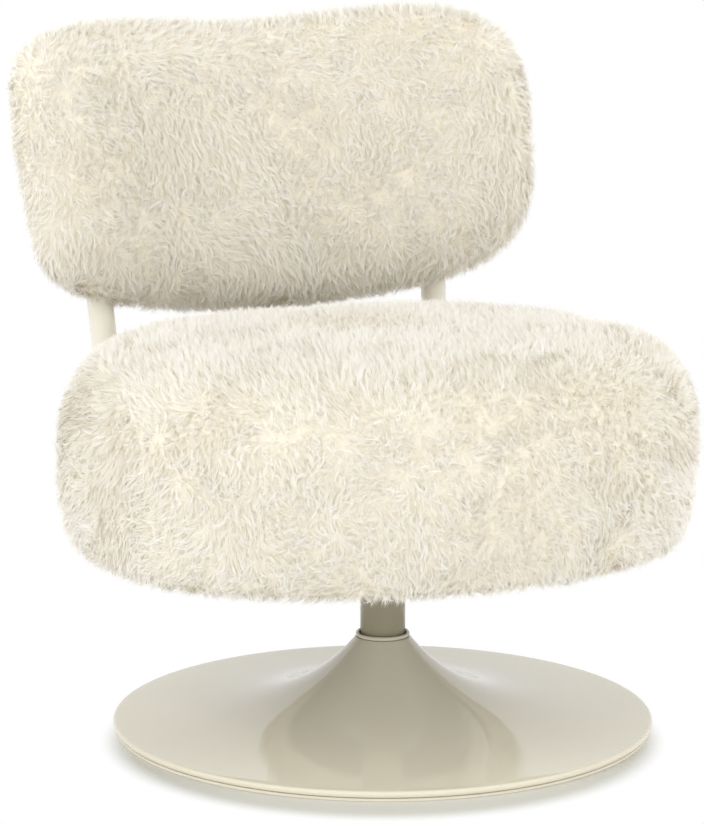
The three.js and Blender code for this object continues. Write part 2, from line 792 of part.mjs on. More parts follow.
// A bracket lies on the board's rear face. It is grown on all sides by a gap where it is a cutter.
const bracketAcross = (side) => (side * (kinkX + topX)) / 2;
function bracketBody(side, gap) {
  const width = 2 * (bracket.halfWidth + gap);
  const height = 2 * (bracket.halfHeight + gap);
  const box = new THREE.BoxGeometry(width, height, 2 * back.halfThickness);
  const front = boardRear - seatGap + gap;
  const rear = boardRear - seatGap - bracket.thickness - gap;
  return keep(bent(weld(box.translate(bracketAcross(side), 0, 0))), backSlab(rear, front));
}

const bracketScrewPlaces = sides.flatMap(([, side]) =>
  [-1, 1].map((way) => [bracketAcross(side) + way * bracket.screwSpread, way * bracket.screwRise]),
);
const bracketScrewHoles = bracketScrewPlaces.map((place) => bracketScrewBody(...place, seatGap));

const backBoardHalf = inset(backCore, backBoard.inset);
const boardSheet = backSheet(backBoardHalf, boardRear, boardFront);
add("back_board", cut(boardSheet, bracketScrewHoles), plywood);
for (const [label, side] of sides) {
  const bracketPiece = cut(bracketBody(side, 0), [...bracketScrewHoles, ...tubeHoles]);
  add(`post_bracket_${label}`, bracketPiece, plainSteel);
}
bracketScrewPlaces.forEach(([across, up], i) => {
  add(`bracket_screw_${i + 1}`, bracketScrewBody(across, up, 0), plainSteel);
});

const frontFoam = keep(core(), backSlab(boardFront + seatGap, back.halfThickness));
add("back_foam_front", frontFoam, foam);
const rearFoam = keep(core(), backSlab(-back.halfThickness, boardRear - seatGap));
const bracketReliefs = sides.map(([, side]) => bracketBody(side, seatGap));
add("back_foam_rear", cut(rearFoam, [...tubeHoles, ...bracketReliefs, ...bracketScrewHoles]), foam);

function backCoverBody() {
  const { halfHeight, halfThickness, edgeRound, crown } = back;
  const outer = pillowRings(backHalfWidth, halfHeight, halfThickness, edgeRound, crown);
  const skin = bent(loft(outer, backOutlinePowers));
  const cavityRings = pillowRings(
    backCore.halfX + seatGap,
    backCore.halfY + seatGap,
    coreThickness + seatGap,
    coreRound + seatGap,
    back.crown,
  );
  return cut(skin, [bent(loft(cavityRings, backOutlinePowers)), ...postReliefs]);
}
add("back_cover", backCoverBody(), sheepskin);

export default chair;
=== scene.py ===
# %% [markdown]
# # A swivel lounge chair in sheepskin
# This lesson dresses a small armless lounge chair. A thick seat and a curved back, both covered with
# cream sheepskin, stand on a trumpet-shaped pedestal of painted steel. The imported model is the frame:
# it says where every piece is, and what is made here is put straight onto it, in metres.

import json
import math

import bmesh
import bpy
import numpy as np
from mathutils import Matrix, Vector, noise


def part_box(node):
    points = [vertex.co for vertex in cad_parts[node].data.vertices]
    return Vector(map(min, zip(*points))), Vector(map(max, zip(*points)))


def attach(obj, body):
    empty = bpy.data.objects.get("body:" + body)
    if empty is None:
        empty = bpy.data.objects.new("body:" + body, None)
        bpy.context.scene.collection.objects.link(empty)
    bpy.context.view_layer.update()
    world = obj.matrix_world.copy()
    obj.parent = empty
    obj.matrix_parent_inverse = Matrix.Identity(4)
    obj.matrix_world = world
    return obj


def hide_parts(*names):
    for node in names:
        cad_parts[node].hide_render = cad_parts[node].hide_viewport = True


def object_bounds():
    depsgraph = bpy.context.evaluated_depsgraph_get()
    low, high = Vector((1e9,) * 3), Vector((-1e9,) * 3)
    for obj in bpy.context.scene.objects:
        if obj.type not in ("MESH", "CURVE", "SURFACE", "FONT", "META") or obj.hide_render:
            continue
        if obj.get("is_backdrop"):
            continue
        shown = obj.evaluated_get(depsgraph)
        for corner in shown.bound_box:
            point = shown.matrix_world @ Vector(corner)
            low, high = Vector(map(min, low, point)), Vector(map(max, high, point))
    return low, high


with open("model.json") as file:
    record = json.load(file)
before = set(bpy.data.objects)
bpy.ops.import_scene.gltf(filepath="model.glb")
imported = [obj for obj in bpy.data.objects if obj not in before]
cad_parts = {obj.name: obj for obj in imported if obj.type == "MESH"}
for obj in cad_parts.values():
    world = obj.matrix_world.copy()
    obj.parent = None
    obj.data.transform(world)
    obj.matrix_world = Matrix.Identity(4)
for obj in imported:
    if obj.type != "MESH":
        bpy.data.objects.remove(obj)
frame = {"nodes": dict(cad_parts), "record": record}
cad_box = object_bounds()
scene = bpy.context.scene

# %% [markdown]
# ## Small tools
# Real sizes are written in millimetres and turned to metres by one function. Colours are written as
# sRGB hex values, as on a paint card, and another function turns them to the linear values that
# Blender works with. Each tree gets one small function that adds a node with its settings and links.

# %% Sizes, colours and nodes
def mm(value):
    return value / 1000


def linear(code):
    channels = [int(code[i : i + 2], 16) / 255 for i in (1, 3, 5)]
    curve = [c / 12.92 if c <= 0.04045 else ((c + 0.055) / 1.055) ** 2.4 for c in channels]
    return (*curve, 1.0)


def feed(node, inputs):
    """Sets a node's inputs, given by name or in order, from values, sockets or whole nodes."""
    open_inputs = [socket for socket in node.inputs if socket.enabled]
    named = isinstance(inputs, dict)
    for key, value in inputs.items() if named else enumerate(inputs):
        socket = next(s for s in open_inputs if s.name == key) if named else open_inputs[key]
        if isinstance(value, bpy.types.Node):
            value = next(output for output in value.outputs if output.enabled)
        if isinstance(value, bpy.types.NodeSocket):
            node.id_data.links.new(value, socket)
        else:
            socket.default_value = value


def adder(tree):
    """Gives the function that adds a node to this tree."""

    def add(kind, inputs=(), **settings):
        node = tree.nodes.new(kind)
        for name, value in settings.items():
            setattr(node, name, value)
        feed(node, inputs)
        return node

    return add


print("greige in linear light:", [round(c, 3) for c in linear("#d6d0bd")])

# %% [markdown]
# ## Camera
# The photograph is taken from the chair's front right, from a little above the back. Its view was
# found by matching the disc base's ellipse and the outlines of seat and back, with a long lens.

# %% The camera
photo_width, photo_height, focal_pixels, sensor_size = 704, 824, 3333.6, 36.0
camera_azimuth, camera_turn, camera_pitch = -25.0, 0.544, -10.635
camera_distance, camera_height, sight = mm(3592.0), mm(1026.5), 200

camera_data = bpy.data.cameras.new("photo_camera")
camera_data.sensor_fit, camera_data.sensor_width = "AUTO", sensor_size
camera_data.lens = focal_pixels * sensor_size / max(photo_width, photo_height)
camera_data.clip_end = sight
camera = bpy.data.objects.new("photo_camera", camera_data)
scene.collection.objects.link(camera)
azimuth = math.radians(camera_azimuth)
camera.location = (camera_distance * math.sin(azimuth), -camera_distance * math.cos(azimuth), camera_height)
camera.rotation_euler = (math.radians(90 + camera_pitch), 0, math.radians(camera_azimuth + camera_turn))
scene.camera = camera
print("camera lens", round(camera_data.lens, 1), "mm at", [round(v, 3) for v in camera.location])

# %% [markdown]
# ## Meshes and trees
# Most pieces start as a list of rings, each a closed row of points, joined ring to ring. Where a
# Geometry Nodes tree makes a piece, its modifier is evaluated once, the result is kept as a plain
# mesh, and the modifier goes.

# %% Helpers for meshes
weld, speck = mm(0.01), mm(0.005)


def new_piece(name, mesh):
    mesh.name = name
    piece = bpy.data.objects.new(name, mesh)
    scene.collection.objects.link(piece)
    return piece


def mesh_of(points, faces, edges=()):
    mesh = bpy.data.meshes.new("draft")
    mesh.from_pydata([tuple(p) for p in points], edges, faces)
    mesh.update()
    return mesh


def face_outwards(mesh, clean):
    """Cleans a mesh with one of bmesh's operators, and turns all its faces outwards."""
    work = bmesh.new()
    work.from_mesh(mesh)
    clean(work)
    bmesh.ops.recalc_face_normals(work, faces=work.faces)
    work.to_mesh(mesh)
    work.free()


def loft(rings):
    """Joins closed rings of equal length. A ring whose points all meet is a pole."""
    count = len(rings[0])
    faces = []
    for i in range(len(rings) - 1):
        for j in range(count):
            k = (j + 1) % count
            faces.append((i * count + j, i * count + k, (i + 1) * count + k, (i + 1) * count + j))
    mesh = mesh_of(np.concatenate(rings), faces)
    face_outwards(mesh, lambda work: bmesh.ops.remove_doubles(work, verts=work.verts, dist=weld))
    mesh.shade_smooth()
    return mesh


def new_tree(name, *inputs):
    """Gives a tree with these inputs and a finish, the tree's adder, and what its inputs hold."""
    tree = bpy.data.node_groups.new(name, "GeometryNodeTree")
    ports = tree.interface
    ports.new_socket("Geometry", in_out="INPUT", socket_type="NodeSocketGeometry")
    for label, kind, value in inputs:
        ports.new_socket(label, in_out="INPUT", socket_type=f"NodeSocket{kind}").default_value = value
    ports.new_socket("Finish", in_out="INPUT", socket_type="NodeSocketMaterial")
    ports.new_socket("Geometry", in_out="OUTPUT", socket_type="NodeSocketGeometry")
    add = adder(tree)
    return tree, add, add("NodeGroupInput").outputs


def send_out(add, geometry, finish, smooth=True):
    """Ends a tree: the geometry is shaded smooth or flat, finished and sent out."""
    shaded = add("GeometryNodeSetShadeSmooth", {"Geometry": geometry, "Shade Smooth": smooth})
    finished = add("GeometryNodeSetMaterial", {"Geometry": shaded, "Material": finish})
    add("NodeGroupOutput", {"Geometry": finished})


def made_by(tree, source, name, **values):
    """Runs a tree on a source object and keeps the result as a plain mesh."""
    modifier = source.modifiers.new(tree.name, "NODES")
    modifier.node_group = tree
    for socket in tree.interface.items_tree:
        label = socket.name.lower().replace(" ", "_")
        if socket.in_out == "INPUT" and label in values:
            modifier[socket.identifier] = values[label]
    bpy.context.view_layer.update()
    evaluated = source.evaluated_get(bpy.context.evaluated_depsgraph_get())
    mesh = bpy.data.meshes.new_from_object(evaluated)
    source.modifiers.remove(modifier)
    piece = new_piece(name, mesh)
    print(name, "has", len(mesh.polygons), "faces")
    return piece


def discard(thing):
    data = thing.data
    bpy.data.objects.remove(thing)
    bpy.data.meshes.remove(data)


def on_body(piece, body, replaced=()):
    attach(piece, body)
    if replaced:
        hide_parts(*replaced)


# %% [markdown]
# ## Finishes of the metal, plastic and timber pieces
# The pedestal wears a satin-gloss powder coat. Sprayed as dry powder and baked, it flows out to a smooth
# skin with a faint orange-peel ripple, and it mirrors pale things at low angles. The column's paint is set
# darker as painted shade, for the shade it stands in under the seat, and the posts wear the coat in cream.
# Screws and plates are zinc plated, the bearing is ground steel.

# %% Powder coat
def finish(name):
    """Gives a material, the adder of its tree, its shader, and the place on the piece."""
    material = bpy.data.materials.new(name)
    material.use_nodes = True
    add = adder(material.node_tree)
    place = add("ShaderNodeTexCoord").outputs["Object"]
    return material, add, material.node_tree.nodes["Principled BSDF"], place


def powder_coat(name, light, dark, roughness, peel_size, peel_height):
    """Baked powder paint: two close tones in soft clouds, and a ripple of a given size."""
    material, add, shader, place = finish(name)
    clouds = add("ShaderNodeTexNoise", {"Vector": place, "Scale": 1 / mm(160)})
    tones = add("ShaderNodeMix", [clouds, linear(dark), linear(light)], data_type="RGBA")
    peel = add("ShaderNodeTexNoise", {"Vector": place, "Scale": 1 / peel_size, "Detail": 1.0})
    ripple = add("ShaderNodeBump", {"Strength": 0.25, "Distance": peel_height, "Height": peel})
    feed(shader, {"Base Color": tones, "Roughness": roughness, "IOR": 1.56, "Normal": ripple})
    return material


greige_powder_coat = powder_coat("greige_powder_coat", "#d6d0bd", "#d2ccb7", 0.045, mm(3), mm(0.01))
# Painted shade: the column wears the base's greige paint set darker, for the shade under the seat.
column_powder_coat = powder_coat("column_powder_coat", "#9c957f", "#97907a", 0.2, mm(3), mm(0.01))
cream_powder_coat = powder_coat("cream_powder_coat", "#e4dfd1", "#e0dbcb", 0.16, mm(2), mm(0.02))
print("painted finishes:", greige_powder_coat.name, column_powder_coat.name, cream_powder_coat.name)

# %% [markdown]
# Zinc plate is a thin bright coat on cold-formed screws and pressed plates, and it looks grey and
# half dull. Bearing races are ground after hardening, so they mirror more. Both are bare metal, and
# what tells them apart is how rough they are and how fine their grain is, so one function does both.

# %% Zinc plate and ground steel
def plated_steel(name, color, smoothest, roughest, grain):
    """Zinc plate or ground steel: metal with a fine brushed or blasted grain."""
    material, add, shader, place = finish(name)
    grit = add("ShaderNodeTexNoise", {"Vector": place, "Scale": 1 / grain, "Detail": 3.0})
    spread = add("ShaderNodeMapRange", {"Value": grit, "To Min": smoothest, "To Max": roughest})
    bump = add("ShaderNodeBump", {"Strength": 0.2, "Distance": mm(0.05), "Height": grit})
    feed(shader, {"Base Color": linear(color), "Metallic": 1.0, "Roughness": spread, "Normal": bump})
    return material


zinc_plate = plated_steel("zinc_plated_steel", "#a9adb0", 0.3, 0.5, mm(0.8))
ground_steel = plated_steel("ground_bearing_steel", "#c4c7ca", 0.12, 0.22, mm(0.5))
print("metal finishes:", zinc_plate.name, ground_steel.name)

# %% [markdown]
# Bushes are milky nylon, and the disc under the base is polypropylene in the paint's own tone. Both
# are moulded, with a fine pebbled skin that breaks up highlights. Cut foam shows its cells, and the
# dust cover is spunbonded cloth, a black felt of pressed fibres. All four have the same two marks, a
# mottled colour and a small texture, so they share a function and differ in its sizes.

# %% Plastics, foam and felt
def moulded(name, light, dark, roughness, mottle, texture_size, texture_height):
    """Moulded, foamed or felted stuff: a mottled colour and a pebbled or fibrous face."""
    material, add, shader, place = finish(name)
    spots = add("ShaderNodeTexNoise", {"Vector": place, "Scale": 1 / mottle, "Detail": 4.0})
    tones = add("ShaderNodeMix", [spots, linear(dark), linear(light)], data_type="RGBA")
    pebbles = add("ShaderNodeTexVoronoi", {"Vector": place, "Scale": 1 / texture_size})
    bump = add("ShaderNodeBump", {"Strength": 0.5, "Distance": texture_height, "Height": pebbles})
    feed(shader, {"Base Color": tones, "Roughness": roughness, "Normal": bump})
    return material


nylon = moulded("natural_nylon", "#ece8dc", "#e2dccb", 0.45, mm(20), mm(1), mm(0.02))
polypropylene = moulded("greige_polypropylene", "#d8d2c2", "#cdc6b4", 0.5, mm(30), mm(1), mm(0.03))
seat_foam = moulded("cut_foam", "#ece0b4", "#dccb94", 0.95, mm(15), mm(1.5), mm(0.5))
black_felt = moulded("spunbonded_black_cloth", "#34322f", "#211f1d", 0.95, mm(8), mm(1.2), mm(0.15))
print("moulded and felted finishes:", nylon.name, polypropylene.name, seat_foam.name, black_felt.name)

# %% [markdown]
# Birch plywood is sliced veneer, glued in layers 1.5 mm thick. Its faces show long faint grain, and
# its edges show the layers, light and dark in turn. Blender's wave texture has 3.18 bands to a unit.

# %% Birch plywood
plywood, add, shader, place = finish("birch_plywood")
layer_pair, bands_in_unit, layer_strength = mm(3), 3.18, 0.35
stretched = add("ShaderNodeMapping", {"Vector": place, "Scale": (1, 12, 1)})
grain = add("ShaderNodeTexNoise", {"Vector": stretched, "Scale": 1 / mm(60), "Detail": 6.0})
bands = {"Vector": place, "Scale": 1 / layer_pair / bands_in_unit, "Distortion": 0.3}
layers = add("ShaderNodeTexWave", bands, bands_direction="Z").outputs["Fac"]
mixed = add("ShaderNodeMath", [layers, layer_strength, grain], operation="MULTIPLY_ADD")
tones = add("ShaderNodeMix", [mixed, linear("#b78f5c"), linear("#dcbd8b")], data_type="RGBA")
feed(shader, {"Base Color": tones, "Roughness": 0.65})
print("timber finish:", plywood.name)

# %% [markdown]
# Much of the chair is hidden: the bearing, the stem, the boards and the brackets. Those pieces stay
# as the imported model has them. Each gets the finish of its slot, so that they look right too when
# the chair is taken apart. The two sheepskin covers give way to the cushions made further down.

# %% The frame's own nodes get their finishes
finish_of_slot = {
    "greige_paint": greige_powder_coat,
    "cream_paint": cream_powder_coat,
    "plain_steel": zinc_plate,
    "bearing_steel": ground_steel,
    "nylon": nylon,
    "pale_plastic": polypropylene,
    "plywood": plywood,
    "foam": seat_foam,
    "black_cloth": black_felt,
    "sheepskin": seat_foam,
}
for part in frame["record"]["subparts"]:
    node = frame["nodes"][part["node"]]
    for slot in node.material_slots:
        slot.material = finish_of_slot[part["material_slot"]]

# %% [markdown]
# ## Pedestal: pieces turned on a lathe
# The base is spun from sheet over a former, and ring, column and disc are round too. A Screw
# modifier could turn each of them. One Geometry Nodes tree serves all four, and shows how turning
# works: a grid has a column for each point of the profile and a row for each step round the axis,
# and each grid point moves to its profile point, turned by its row.

# %% The lathe tree
lathe, add, given = new_tree("lathe", ("Steps", "Int", 128))
count = add("GeometryNodeAttributeDomainSize", {"Geometry": given["Geometry"]}).outputs["Point Count"]
rows = add("ShaderNodeMath", [given["Steps"], 1.0], operation="ADD")
sheet = add("GeometryNodeMeshGrid", {"Size X": 1.0, "Size Y": 1.0, "Vertices X": count, "Vertices Y": rows})
index = add("GeometryNodeInputIndex")
share = add("ShaderNodeMath", [index, rows], operation="DIVIDE")
profile_index = add("ShaderNodeMath", [share], operation="FLOOR")
row = add("ShaderNodeMath", [index, rows], operation="MODULO")
turn = add("ShaderNodeMath", [row, given["Steps"]], operation="DIVIDE")
angle = add("ShaderNodeMath", [turn, math.tau], operation="MULTIPLY")
here = add("GeometryNodeInputPosition")
wanted = {"Geometry": given["Geometry"], "Value": here, "Index": profile_index}
profile_point = add("GeometryNodeSampleIndex", wanted, data_type="FLOAT_VECTOR")
turned = add("ShaderNodeVectorRotate", {"Vector": profile_point, "Angle": angle}, rotation_type="Z_AXIS")
placed = add("GeometryNodeSetPosition", {"Geometry": sheet.outputs["Mesh"], "Position": turned})
closed = add("GeometryNodeMergeByDistance", {"Geometry": placed, "Distance": weld})
send_out(add, closed, given["Finish"])


def turned_piece(name, profile, steps, material):
    """Turns a closed profile of (radius, height) in millimetres round the swivel axis."""
    points = [(mm(radius), 0, mm(height)) for radius, height in [*profile, profile[0]]]
    source = new_piece("profile", mesh_of(points, []))
    piece = made_by(lathe, source, name, steps=steps, finish=material)
    discard(source)
    face_outwards(
        piece.data, lambda work: bmesh.ops.dissolve_degenerate(work, edges=work.edges, dist=speck)
    )
    return piece


def arc(centre, radius, start, end, steps):
    """Points of an arc of a profile, its angles in degrees from straight outwards."""
    turns = [math.radians(start + (end - start) * i / steps) for i in range(steps + 1)]
    return [(centre[0] + radius * math.cos(a), centre[1] + radius * math.sin(a)) for a in turns]


# %% [markdown]
# The trumpet's height falls away exponentially from neck to rim. Its rim is rolled under in a
# half round, which leaves a thin shadow line above the plastic disc that the chair stands on.

# %% Trumpet base
rim_radius, neck_radius = 300.0, 30.0
neck_height, foot_height, flare_length = 100.0, 9.0, 72.0
shell_wall, neck_lip, rim_round, hem_width, hem_bottom = 2.5, 1.5, 3.65, 12.0, 3.8


def flare_height(radius):
    return foot_height + (neck_height - foot_height) * math.exp((neck_radius - radius) / flare_length)


def flare(inner, outer, drop, steps=48, crowding=1.5):
    """Points down the flare, closest together at the neck, where it is steepest."""
    radii = [inner + (outer - inner) * (i / steps) ** crowding for i in range(steps + 1)]
    return [(radius, flare_height(radius) - drop) for radius in radii]


rim_start = rim_radius - rim_round
outside = flare(neck_radius, rim_start, 0)
rim_middle = (rim_start, outside[-1][1] - rim_round)
lip = arc(rim_middle, rim_round, start=90, end=-90, steps=14)[1:]
hem = [(rim_radius - hem_width, hem_bottom)]
inside = flare(neck_radius - neck_lip, rim_radius - hem_width, shell_wall)[::-1]
trumpet_profile = [*outside, *lip, *hem, *inside, (neck_radius - shell_wall, neck_height)]
trumpet = turned_piece("trumpet_base", trumpet_profile, steps=160, material=greige_powder_coat)
on_body(trumpet, "base", ["base_shell"])

# %% [markdown]
# A beaded ring trims the hole where the column goes in, and a plastic disc under the rim is what the
# chair slides on. Ring, column and disc are three more profiles for the same lathe. Their edges are
# broken a little, as a turner breaks them, because a perfectly sharp edge catches no light.

# %% Neck ring, column and floor disc
column_radius, column_wall, edge_break = 25.0, 2.5, 0.4
gap, ring_bead, sleeve_depth, sleeve_inset = 0.3, 4.5, 12.0, 2.8
ring_inner, ring_bottom = column_radius + 1.0 + gap, neck_height + gap
ring_middle, bead_width = (neck_radius + ring_inner) / 2, (neck_radius - ring_inner) / 2
bead_start, bead_sweep, bead_steps = -60, 240, 14
bead = [
    (ring_middle + bead_width * math.cos(a), ring_bottom + ring_bead / 2 + ring_bead / 2 * math.sin(a))
    for a in [math.radians(bead_start + bead_sweep * i / bead_steps) for i in range(bead_steps + 1)]
]
sleeve_outer, sleeve_low = neck_radius - sleeve_inset, neck_height - sleeve_depth
sleeve = [(ring_inner, sleeve_low), (sleeve_outer, sleeve_low), (sleeve_outer, ring_bottom)]
neck_ring = turned_piece("neck_bead_ring", [*sleeve, *bead], steps=96, material=greige_powder_coat)
on_body(neck_ring, "base", ["neck_ring"])

column_bottom, column_top = (corner.z * 1000 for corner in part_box("column_tube"))
column_profile = [
    (column_radius - column_wall, column_bottom),
    (column_radius - edge_break, column_bottom),
    (column_radius, column_bottom + edge_break),
    (column_radius, column_top - edge_break),
    (column_radius - edge_break, column_top),
    (column_radius - column_wall, column_top),
]
column = turned_piece("swivel_column", column_profile, steps=96, material=column_powder_coat)
on_body(column, "seat", ["column_tube"])

disc_radius, disc_top, lower_edge, upper_edge = 298.0, 3.5, 1.0, 1.1
disc_profile = [
    (0, 0),
    *arc((disc_radius - lower_edge, lower_edge), lower_edge, start=-90, end=0, steps=3),
    *arc((disc_radius - upper_edge, disc_top - upper_edge), upper_edge, start=0, end=90, steps=3),
    (0, disc_top),
]
disc = turned_piece("floor_glide_disc", disc_profile, steps=128, material=polypropylene)
on_body(disc, "base", ["floor_disc"])

# %% [markdown]
# ## Posts: tubes along a bent line
# Each post is a steel tube. It leaves its foot under the board, runs back, turns up behind the seat
# and leans back into the upholstery. The line is worked out first, in the back's own bent
# coordinates, and a tree sweeps a circle along it.

# %% The back's bent and leaning space
back_radius, back_lean, back_centre_y, back_centre_z = 720.0, math.radians(10), 351.0, 597.5


def back_place(across, up, forward):
    """Carries a point of the flat back to its bent and leaning place, in metres."""
    depth = -back_radius + (back_radius - forward) * np.cos(across / back_radius)
    x = (back_radius - forward) * np.sin(across / back_radius)
    y = back_centre_y + depth * math.cos(back_lean) + up * math.sin(back_lean)
    z = back_centre_z - depth * math.sin(back_lean) + up * math.cos(back_lean)
    return np.stack(np.broadcast_arrays(x, y, z), -1) / 1000


post_radius, kink_height, behind_centre = 15.0, 380.0, 22.0
half_plate, back_half_height, top_inset, kink_out, top_out = 2, 173.5, 52, 9, 26
foot_x, foot_z = (sum(corner[axis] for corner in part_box("post_foot_left")) * 500 for axis in (0, 2))
run_height = foot_z - half_plate - gap - post_radius
front_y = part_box("back_post_left")[0].y * 1000
kink_x, top_x, top_rise = foot_x + kink_out, foot_x + top_out, back_half_height - top_inset
kink_depth = back_place(kink_x, 0.0, -behind_centre)
kink_rise = (kink_height - kink_depth[2] * 1000) / math.cos(back_lean)


def rounded_line(corners, radii, steps=14):
    """Straight runs joined by soft bends."""
    line = [corners[0]]
    for before, corner, after, radius in zip(corners, corners[1:], corners[2:], radii):
        back_way, on_way = (before - corner).normalized(), (after - corner).normalized()
        reach = radius * math.tan((math.pi - back_way.angle(on_way)) / 2)
        start, end = corner + back_way * reach, corner + on_way * reach
        for i in range(steps + 1):
            t = i / steps
            line.append(start * (1 - t) ** 2 + corner * 2 * t * (1 - t) + end * t**2)
    return [*line, corners[-1]]


def post_line(side):
    kink = Vector(back_place(side * kink_x, kink_rise, -behind_centre))
    top = Vector(back_place(side * top_x, top_rise, -behind_centre))
    foot = Vector((side * mm(foot_x), mm(front_y), mm(run_height)))
    turn_up = Vector((side * mm(foot_x), kink.y, mm(run_height)))
    return rounded_line([foot, turn_up, kink, top], radii=[mm(60), mm(220)])


# %% [markdown]
# A tube could be a curve with a round bevel. A tree that sweeps a circle along a line does the same,
# its sizes have names, and it closes the ends, so that the post is a solid without holes.

# %% The tube tree and the two posts
tube, add, given = new_tree("tube along a line", ("Radius", "Float", mm(10)), ("Sides", "Int", 32))
line = add("GeometryNodeMeshToCurve", {"Mesh": given["Geometry"]})
circle = add("GeometryNodeCurvePrimitiveCircle", {"Resolution": given["Sides"], "Radius": given["Radius"]})
swept = add("GeometryNodeCurveToMesh", {"Curve": line, "Profile Curve": circle, "Fill Caps": True})
send_out(add, swept, given["Finish"])

for label, side in (("right", -1), ("left", 1)):
    points = post_line(side)
    joins = [(i, i + 1) for i in range(len(points) - 1)]
    source = new_piece("post_line", mesh_of(points, [], joins))
    name = f"painted_post_{label}"
    post = made_by(tube, source, name, radius=mm(post_radius), sides=40, finish=cream_powder_coat)
    discard(source)
    on_body(post, "seat", [f"back_post_{label}"])

# %% [markdown]
# ## Bolts under the seat
# Eight flanged hexagon bolts hold the seat plate and the feet of the posts to the board. A bolt could
# be modelled once and copied by hand. A tree sets one on each given point instead, so that all stay
# alike and sit where the frame has them: a hexagon head, a round flange over it, and a plain shank.

# %% The bolt tree
bolts, add, given = new_tree(
    "flanged bolts",
    ("Across Corners", "Float", mm(15)),
    ("Head Height", "Float", mm(5)),
    ("Shank Radius", "Float", mm(4)),
    ("Shank Length", "Float", mm(16)),
)
flange_share = 0.22
head_radius = add("ShaderNodeMath", [given["Across Corners"], 0.5], operation="MULTIPLY")
flange_height = add("ShaderNodeMath", [given["Head Height"], flange_share], operation="MULTIPLY")
head_depth = add("ShaderNodeMath", [given["Head Height"], flange_height], operation="SUBTRACT")
head_drop = add("ShaderNodeMath", [given["Head Height"], -1.0], operation="MULTIPLY")
flange_drop = add("ShaderNodeMath", [flange_height, -0.5], operation="MULTIPLY")
shank_rise = add("ShaderNodeMath", [given["Shank Length"], 0.5], operation="MULTIPLY")
head = {"Vertices": 6, "Radius Top": head_radius, "Radius Bottom": head_radius, "Depth": head_depth}
flange = {"Vertices": 32, "Radius": head_radius, "Depth": flange_height}
shank = {"Vertices": 24, "Radius": given["Shank Radius"], "Depth": given["Shank Length"]}
bolt = add("GeometryNodeJoinGeometry")
for form, sizes, rise in (
    ("Cone", head, head_drop),
    ("Cylinder", flange, flange_drop),
    ("Cylinder", shank, shank_rise),
):
    body = add(f"GeometryNodeMesh{form}", sizes)
    offset = add("ShaderNodeCombineXYZ", {"Z": rise})
    feed(bolt, [add("GeometryNodeTransform", {"Geometry": body, "Translation": offset})])
many = add("GeometryNodeInstanceOnPoints", {"Points": given["Geometry"], "Instance": bolt})
send_out(add, add("GeometryNodeRealizeInstances", {"Geometry": many}), given["Finish"], smooth=False)


def bolt_set(name, nodes, across_corners, head_height, shank_radius):
    boxes = [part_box(node) for node in nodes]
    seats = [((low.x + high.x) / 2, (low.y + high.y) / 2, low.z + mm(head_height)) for low, high in boxes]
    source = new_piece("bolt_places", mesh_of(seats, []))
    sizes = {
        "across_corners": mm(across_corners),
        "head_height": mm(head_height),
        "shank_radius": mm(shank_radius),
        "shank_length": boxes[0][1].z - seats[0][2],
    }
    piece = made_by(bolts, source, name, finish=zinc_plate, **sizes)
    discard(source)
    on_body(piece, "seat", nodes)


plate_bolts = [f"plate_bolt_{i}" for i in range(1, 5)]
foot_bolts = [f"foot_bolt_{i}" for i in range(1, 5)]
bolt_set("seat_plate_bolts", plate_bolts, across_corners=15.0, head_height=5.3, shank_radius=4.0)
bolt_set("post_foot_bolts", foot_bolts, across_corners=11.5, head_height=4.0, shank_radius=3.0)

# %% [markdown]
# ## Staples round the dust cover
# Black cloth closes the underside, and wire staples hold it to the board all round. One short wire
# is set out along a line at even steps, and turned to lie along the cloth's edge.

# %% The staple tree
staples, add, given = new_tree(
    "staples along a line",
    ("Spacing", "Float", mm(30)),
    ("Crown", "Float", mm(10)),
    ("Wire Radius", "Float", mm(0.4)),
)
edge_line = add("GeometryNodeMeshToCurve", {"Mesh": given["Geometry"]})
places = add("GeometryNodeCurveToPoints", {"Curve": edge_line, "Length": given["Spacing"]}, mode="LENGTH")
halves = [add("ShaderNodeMath", [given["Crown"], side], operation="MULTIPLY") for side in (-0.5, 0.5)]
start, end = (add("ShaderNodeCombineXYZ", {"X": half}) for half in halves)
crown = add("GeometryNodeCurvePrimitiveLine", {"Start": start, "End": end})
wire = add("GeometryNodeCurvePrimitiveCircle", {"Resolution": 8, "Radius": given["Wire Radius"]})
staple = add("GeometryNodeCurveToMesh", {"Curve": crown, "Profile Curve": wire, "Fill Caps": True})
along_edge = add("FunctionNodeAlignRotationToVector", {"Vector": places.outputs["Tangent"]}, axis="X")
setting = {"Points": places, "Instance": staple, "Rotation": along_edge}
set_out = add("GeometryNodeInstanceOnPoints", setting)
send_out(add, add("GeometryNodeRealizeInstances", {"Geometry": set_out}), given["Finish"])

# %% [markdown]
# ## Cushions
# Under the wool, seat and back are plain upholstered forms. The seat is a rounded square drum with a
# soft crown; its leather wraps under the edge of a plywood board. The back is a rounded oblong, bent
# round the sitter. Both start as lofts of superellipse rings, a little small, and Blender's cloth
# swells them like skin pulled over foam.

# %% Superellipse rings
def outline(half_x, half_y, far, near, sides=144):
    """A closed superellipse with evenly spaced points. A size of 0 puts them all in the middle."""
    fine = sides * 20
    turns = np.arange(fine) * math.tau / fine
    power = np.where(np.sin(turns) < 0, near, far)
    x = half_x * np.sign(np.cos(turns)) * np.abs(np.cos(turns)) ** (2 / power)
    y = half_y * np.sign(np.sin(turns)) * np.abs(np.sin(turns)) ** (2 / power)
    steps = np.hypot(np.diff(x, append=x[0]), np.diff(y, append=y[0]))
    way = np.concatenate([[0], np.cumsum(steps)])
    spots = np.arange(sides) * way[-1] / sides
    return np.stack([np.interp(spots, way, np.append(values, values[0])) for values in (x, y)], 1)


